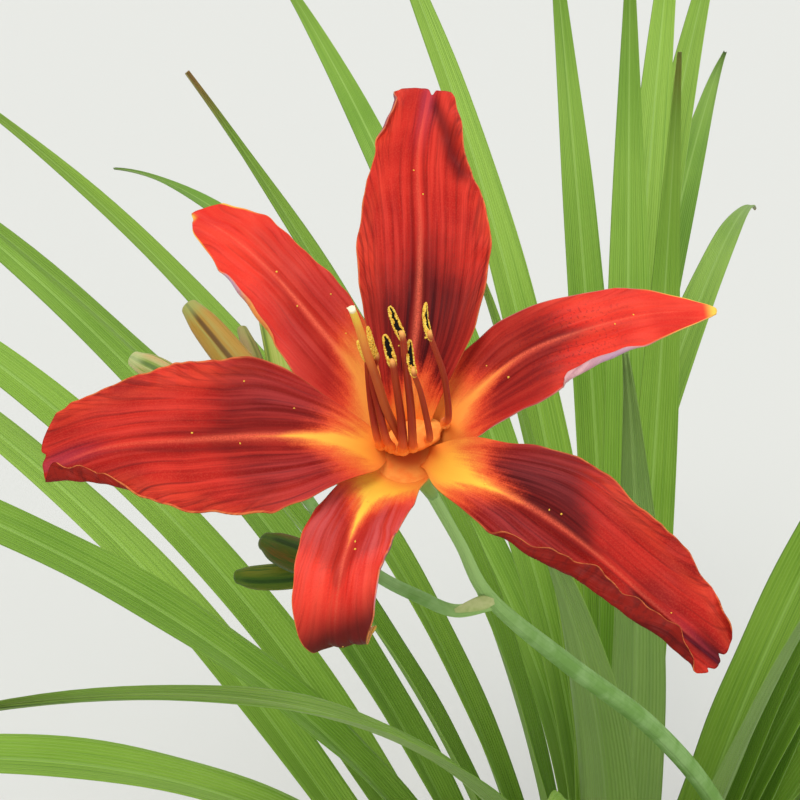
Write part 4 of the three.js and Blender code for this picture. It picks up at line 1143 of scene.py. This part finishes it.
def make_bracts():
    paint = bract_paint()
    rows, columns = 40, 13
    t, v = np.linspace(0, 1, rows), np.linspace(-1, 1, columns)
    for name, bract in BRACTS.items():
        centre = PLACE + along(bract["path"], t)
        tangent = unit(np.gradient(centre, axis=0))
        side = np.array(bract["across"])
        side = unit(side - (tangent @ side)[:, None] * tangent)
        lift = np.cross(tangent, side)
        half = along(bract["half_widths"], t)
        front = (centre[:, None] + (half[:, None] * v)[..., None] * side[:, None]
                 + (0.3 * half[:, None] * v**2)[..., None] * lift[:, None])
        length = np.broadcast_to(t[:, None], (rows, columns))
        shape = Shape().add(*blade(front, BRACT_THICKNESS, along=length))
        shape.make(name, paint, "bract", name)


# ---------- Leaves ----------

class Draws:
    """The frame's own sequence of seeded draws."""

    def __init__(self, seed):
        self.state = seed

    def jitter(self, size):
        self.state = self.state * 16807 % 2147483647
        return (2 * self.state / 2147483647 - 1) * size


def fan_turn(index):
    """Which way a fan faces, in radians."""
    return math.radians(FAN["first_azimuth"] + 360 / FAN["count"] * index)


def leaf_grid(draws, index, rank):
    """The front surface of one leaf: rows along it, columns across it."""
    pair = math.ceil(rank / 2)
    side = 1 if (rank + index) % 2 else -1
    spread = side * (LEAF["spread_first"] + LEAF["spread_step"] * (pair - 1) if pair else 0)
    spread = spread + draws.jitter(3)
    youth, age = max(0, 1 - rank / 3), max(0, rank - 6)
    length = LEAF["length"] - LEAF["inner_shorter"] * youth - LEAF["outer_shorter"] * age + draws.jitter(28)
    lean = LEAF["lean_first"] + LEAF["lean_step"] * rank
    tip = LEAF["tip_first"] + LEAF["tip_step"] * rank + draws.jitter(9)
    sway = draws.jitter(10)
    twist = math.radians(draws.jitter(28))
    breadth = 1 + draws.jitter(0.1)
    turn = fan_turn(index)
    standing = FAN["first_radius"] + FAN["leaf_spacing"] * rank

    def direction(s):
        heading = turn + np.radians(spread * smooth(0.06, 0.4, s) + sway * s * s)
        tilt = np.radians(lean * smooth(0, 0.05, s) + (tip - lean) * s ** LEAF["bend_power"])
        way = np.stack([np.sin(tilt) * np.cos(heading), np.sin(tilt) * np.sin(heading), np.cos(tilt)], -1)
        return way, np.stack([-np.sin(heading), np.cos(heading), np.zeros_like(heading)], -1)

    s = np.linspace(0, 1, LEAF_ROWS)
    way, across = direction(s)
    middle, _ = direction((s[1:] + s[:-1]) / 2)
    start = np.array([standing * math.cos(turn), standing * math.sin(turn), FAN["root_height"]])
    centre = start + np.concatenate([np.zeros((1, 3)), np.cumsum(middle * length / (LEAF_ROWS - 1), axis=0)])
    angle = (twist * s * s)[:, None]
    across = across * np.cos(angle) + np.cross(way, across) * np.sin(angle)
    inward = np.cross(way, across)
    fold = np.radians(along(LEAF["folds"], s))[:, None]
    half = (along(LEAF["half_widths"], s) * breadth)[:, None]
    v = np.linspace(-1, 1, LEAF_COLUMNS)
    soft = 0.12  # rounds the fold along the midrib
    rise = (np.sqrt(v**2 + soft**2) - soft) / (math.sqrt(1 + soft**2) - soft)
    ribs = 0.1 * np.cos(7 * math.pi * v) * smooth(0.1, 0.3, s)[:, None]
    wave = 0.5 * np.abs(v) ** 3 * wobble(900 + 10 * index + rank, s[:, None] + 0.1 * np.sign(v), 5)
    lift = half * rise * np.sin(fold) + ribs + wave * smooth(0.2, 0.5, s)[:, None]
    front = (centre[:, None] + (half * v * np.cos(fold))[..., None] * across[:, None]
             + lift[..., None] * inward[:, None])
    return front, np.broadcast_to(s[:, None], lift.shape), np.broadcast_to(v, lift.shape)


def make_fans():
    draws = Draws(LEAF["seed"])
    paint = leaf_paint()
    for index in range(FAN["count"]):
        shape = Shape()
        rng = np.random.default_rng(SEEDS["leaf"] + index)
        for rank in range(FAN["leaves"]):
            front, s, v = leaf_grid(draws, index, rank)
            thickness = LEAF["thickness"] * (0.9 - 0.55 * np.abs(v))
            shape.add(*blade(front, thickness, along=s, across=v, tint=np.full(s.shape, rng.uniform())))
        row = np.array([math.cos(fan_turn(index)), math.sin(fan_turn(index)), 0])
        foot = [row * out + (0, 0, FAN_FOOT["height"]) for out in FAN_FOOT["reach"]]
        points, faces, _ = rod(foot, FAN_FOOT["radii"], 12, 16)
        shape.add(points, faces, along=0.0, across=0.0, tint=0.5, under=0.0)
        shape.make(f"fan_{index + 1}", paint, "leaf", f"fan_{index + 1}")


# ---------- Pot and soil ----------

def make_pot():
    collar = POT["height"] - POT["collar_height"]
    corners = [(0, 0), (POT["base_radius"], 0), (POT["under_collar_radius"], collar),
               (POT["collar_radius"], collar + 2), (POT["rim_radius"], POT["height"] - 2),
               (POT["rim_radius"] - 2, POT["height"]), (POT["rim_inner_radius"], POT["height"]),
               (POT["floor_inner_radius"], POT["floor"]), (0, POT["floor"])]
    points, faces = lathe(subdivided(rounded(corners, 2.2), 4), 144)
    turn = np.arctan2(points[:, 1], points[:, 0])
    radius = np.hypot(points[:, 0], points[:, 1])
    share = points[:, 2] / POT["height"]
    uneven = 0.18 * np.sin(3 * turn + 5 * share) + 0.12 * wobble(8, share, 16)
    scale = 1 + uneven / np.maximum(radius, 20) * smooth(60, 76, radius)
    points[:, :2] *= scale[:, None]
    pot = Shape().add(points, faces, height=share).make("pot", clay_paint(), "clay", "pot")
    ring, low, high = POT["drain_radius"], -5, POT["floor"] + 5
    for k in range(POT["drains"]):
        angle = 2 * math.pi * (k + 0.5) / POT["drains"]
        hole, sides = lathe([(0, low), (ring, low), (ring, high), (0, high)], 32)
        hole = hole + [POT["drain_circle"] * math.cos(angle), POT["drain_circle"] * math.sin(angle), 0]
        cut_away(pot, hole, sides)


def cut_away(piece, points, faces):
    """Takes a closed body away from a piece."""
    mesh = bpy.data.meshes.new("cutter")
    mesh.from_pydata((points * MM).tolist(), [], [face for group in faces for face in group.tolist()])
    cutter = linked("cutter", mesh)
    cut = piece.modifiers.new("cut", "BOOLEAN")
    cut.operation = "DIFFERENCE"
    cut.solver = "EXACT"
    cut.object = cutter
    bpy.context.view_layer.update()
    whole = piece.evaluated_get(bpy.context.evaluated_depsgraph_get())
    piece.data = bpy.data.meshes.new_from_object(whole)
    piece.modifiers.clear()
    bpy.data.objects.remove(cutter)


def pot_inner_radius(height):
    share = (height - POT["floor"]) / (POT["height"] - POT["floor"])
    return POT["floor_inner_radius"] + share * (POT["rim_inner_radius"] - POT["floor_inner_radius"])


def soil_height(x, y):
    """The soil's top at a place: a low mound with clods."""
    share = np.hypot(x, y) / pot_inner_radius(SOIL["edge_top"])
    mound = SOIL["crown_top"] - (SOIL["crown_top"] - SOIL["edge_top"]) * smooth(0.3, 1, share)
    clods = sum(np.sin(x * f + p) * np.sin(y * g + q) * a for f, g, p, q, a in (
        (0.09, 0.11, 1, 2, 0.7), (0.21, 0.17, 4, 1, 0.6), (0.43, 0.51, 2, 5, 0.35), (0.9, 0.8, 3, 3, 0.2)))
    return mound - 1.4 + clods


def make_soil():
    """The mounded soil with crumbs, clods and pale grit on it."""
    bottom = POT["floor"] + GAP
    edge = pot_inner_radius(SOIL["edge_top"]) - GAP
    rings = 60
    profile = [(0, bottom), (pot_inner_radius(bottom) - GAP, bottom)]
    profile += [(edge * k / rings, SOIL["edge_top"]) for k in range(rings, 0, -1)] + [(0, SOIL["edge_top"])]
    points, faces = lathe(profile, 160)
    top = points[:, 2] > SOIL["edge_top"] - 1
    points[top, 2] = soil_height(points[top, 0], points[top, 1])
    shape = Shape().add(points, faces, tint=0.0)
    rng = np.random.default_rng(SEEDS["soil"])
    for count, small, large, low, high in SOIL_LUMPS:
        radius = np.sqrt(rng.uniform(0, 1, count)) * (edge - large - 1)
        turn = rng.uniform(0, 2 * math.pi, count)
        x, y = radius * np.cos(turn), radius * np.sin(turn)
        size = rng.uniform(small, large, count)
        sizes = size[:, None] * rng.uniform(0.6, 1.2, (count, 3))
        at = np.stack([x, y, soil_height(x, y) + size * 0.25], -1)
        lumps(shape, at, sizes, rng, 0.25, tint=rng.uniform(low, high, count))
    shape.make("soil", soil_paint(), "soil", "soil")


# ---------- Camera, floor and light ----------

def make_camera():
    tilt = math.radians(VIEW_ELEVATION)
    up = np.array([0, math.sin(tilt), math.cos(tilt)])
    place = PLACE + VIEW_DISTANCE * to_camera() + up * FLOWER_OFFSET[1] - np.array([FLOWER_OFFSET[0], 0, 0])
    camera = linked("camera", bpy.data.cameras.new("camera"))
    camera.location = place * MM
    camera.rotation_euler = (math.pi / 2 - tilt, 0, 0)
    camera.data.sensor_width = SENSOR
    camera.data.lens = SENSOR * VIEW_DISTANCE / (2 * HALF_VIEW)
    camera.data.clip_start = 0.01
    bpy.context.scene.camera = camera


def make_floor():
    mesh = bpy.data.meshes.new("floor")
    half = 8
    mesh.from_pydata([(-half, -half, 0), (half, -half, 0), (half, half, 0), (-half, half, 0)], [],
                     [(0, 1, 2, 3)])
    mesh.materials.append(Paint("floor", roughness=0.9, specular=0.2).finish("#cfd0cc"))
    floor = linked("floor", mesh)


def make_light():
    world = bpy.data.worlds.new("studio")
    world.use_nodes = True
    sky = world.node_tree.nodes["Background"]
    sky.inputs["Color"].default_value = (0.93, 0.96, 1.0, 1)
    sky.inputs["Strength"].default_value = 0.62
    bpy.context.scene.world = world
    for name, (x, y, z), strength, softness, tone in (
            ("key", (0.25, 0.4, -1.0), 1.75, 24, (1.0, 0.97, 0.92)),
            ("fill", (-0.9, 0.8, -0.9), 0.6, 70, (0.98, 0.98, 0.98)),
            ("back", (-0.2, -0.9, -0.9), 0.5, 60, (1.0, 0.98, 0.95))):
        lamp = bpy.data.lights.new(name, "SUN")
        lamp.energy, lamp.angle, lamp.color = strength, math.radians(softness), tone
        toward = (math.atan2(math.hypot(x, y), -z), 0, math.atan2(y, x) - math.pi / 2)
        linked(name, lamp).rotation_euler = toward
    bpy.context.scene.view_settings.view_transform = "Standard"


make_camera()
make_floor()
make_light()
make_tepals(PETALS, PETAL_CUP, 8, "petal")
make_tepals(SEPALS, SEPAL_CUP, 5, "sepal")
make_stamens()
make_throat()
make_pistil()
make_stalk()
make_buds()
make_bracts()
make_fans()
make_pot()
make_soil()
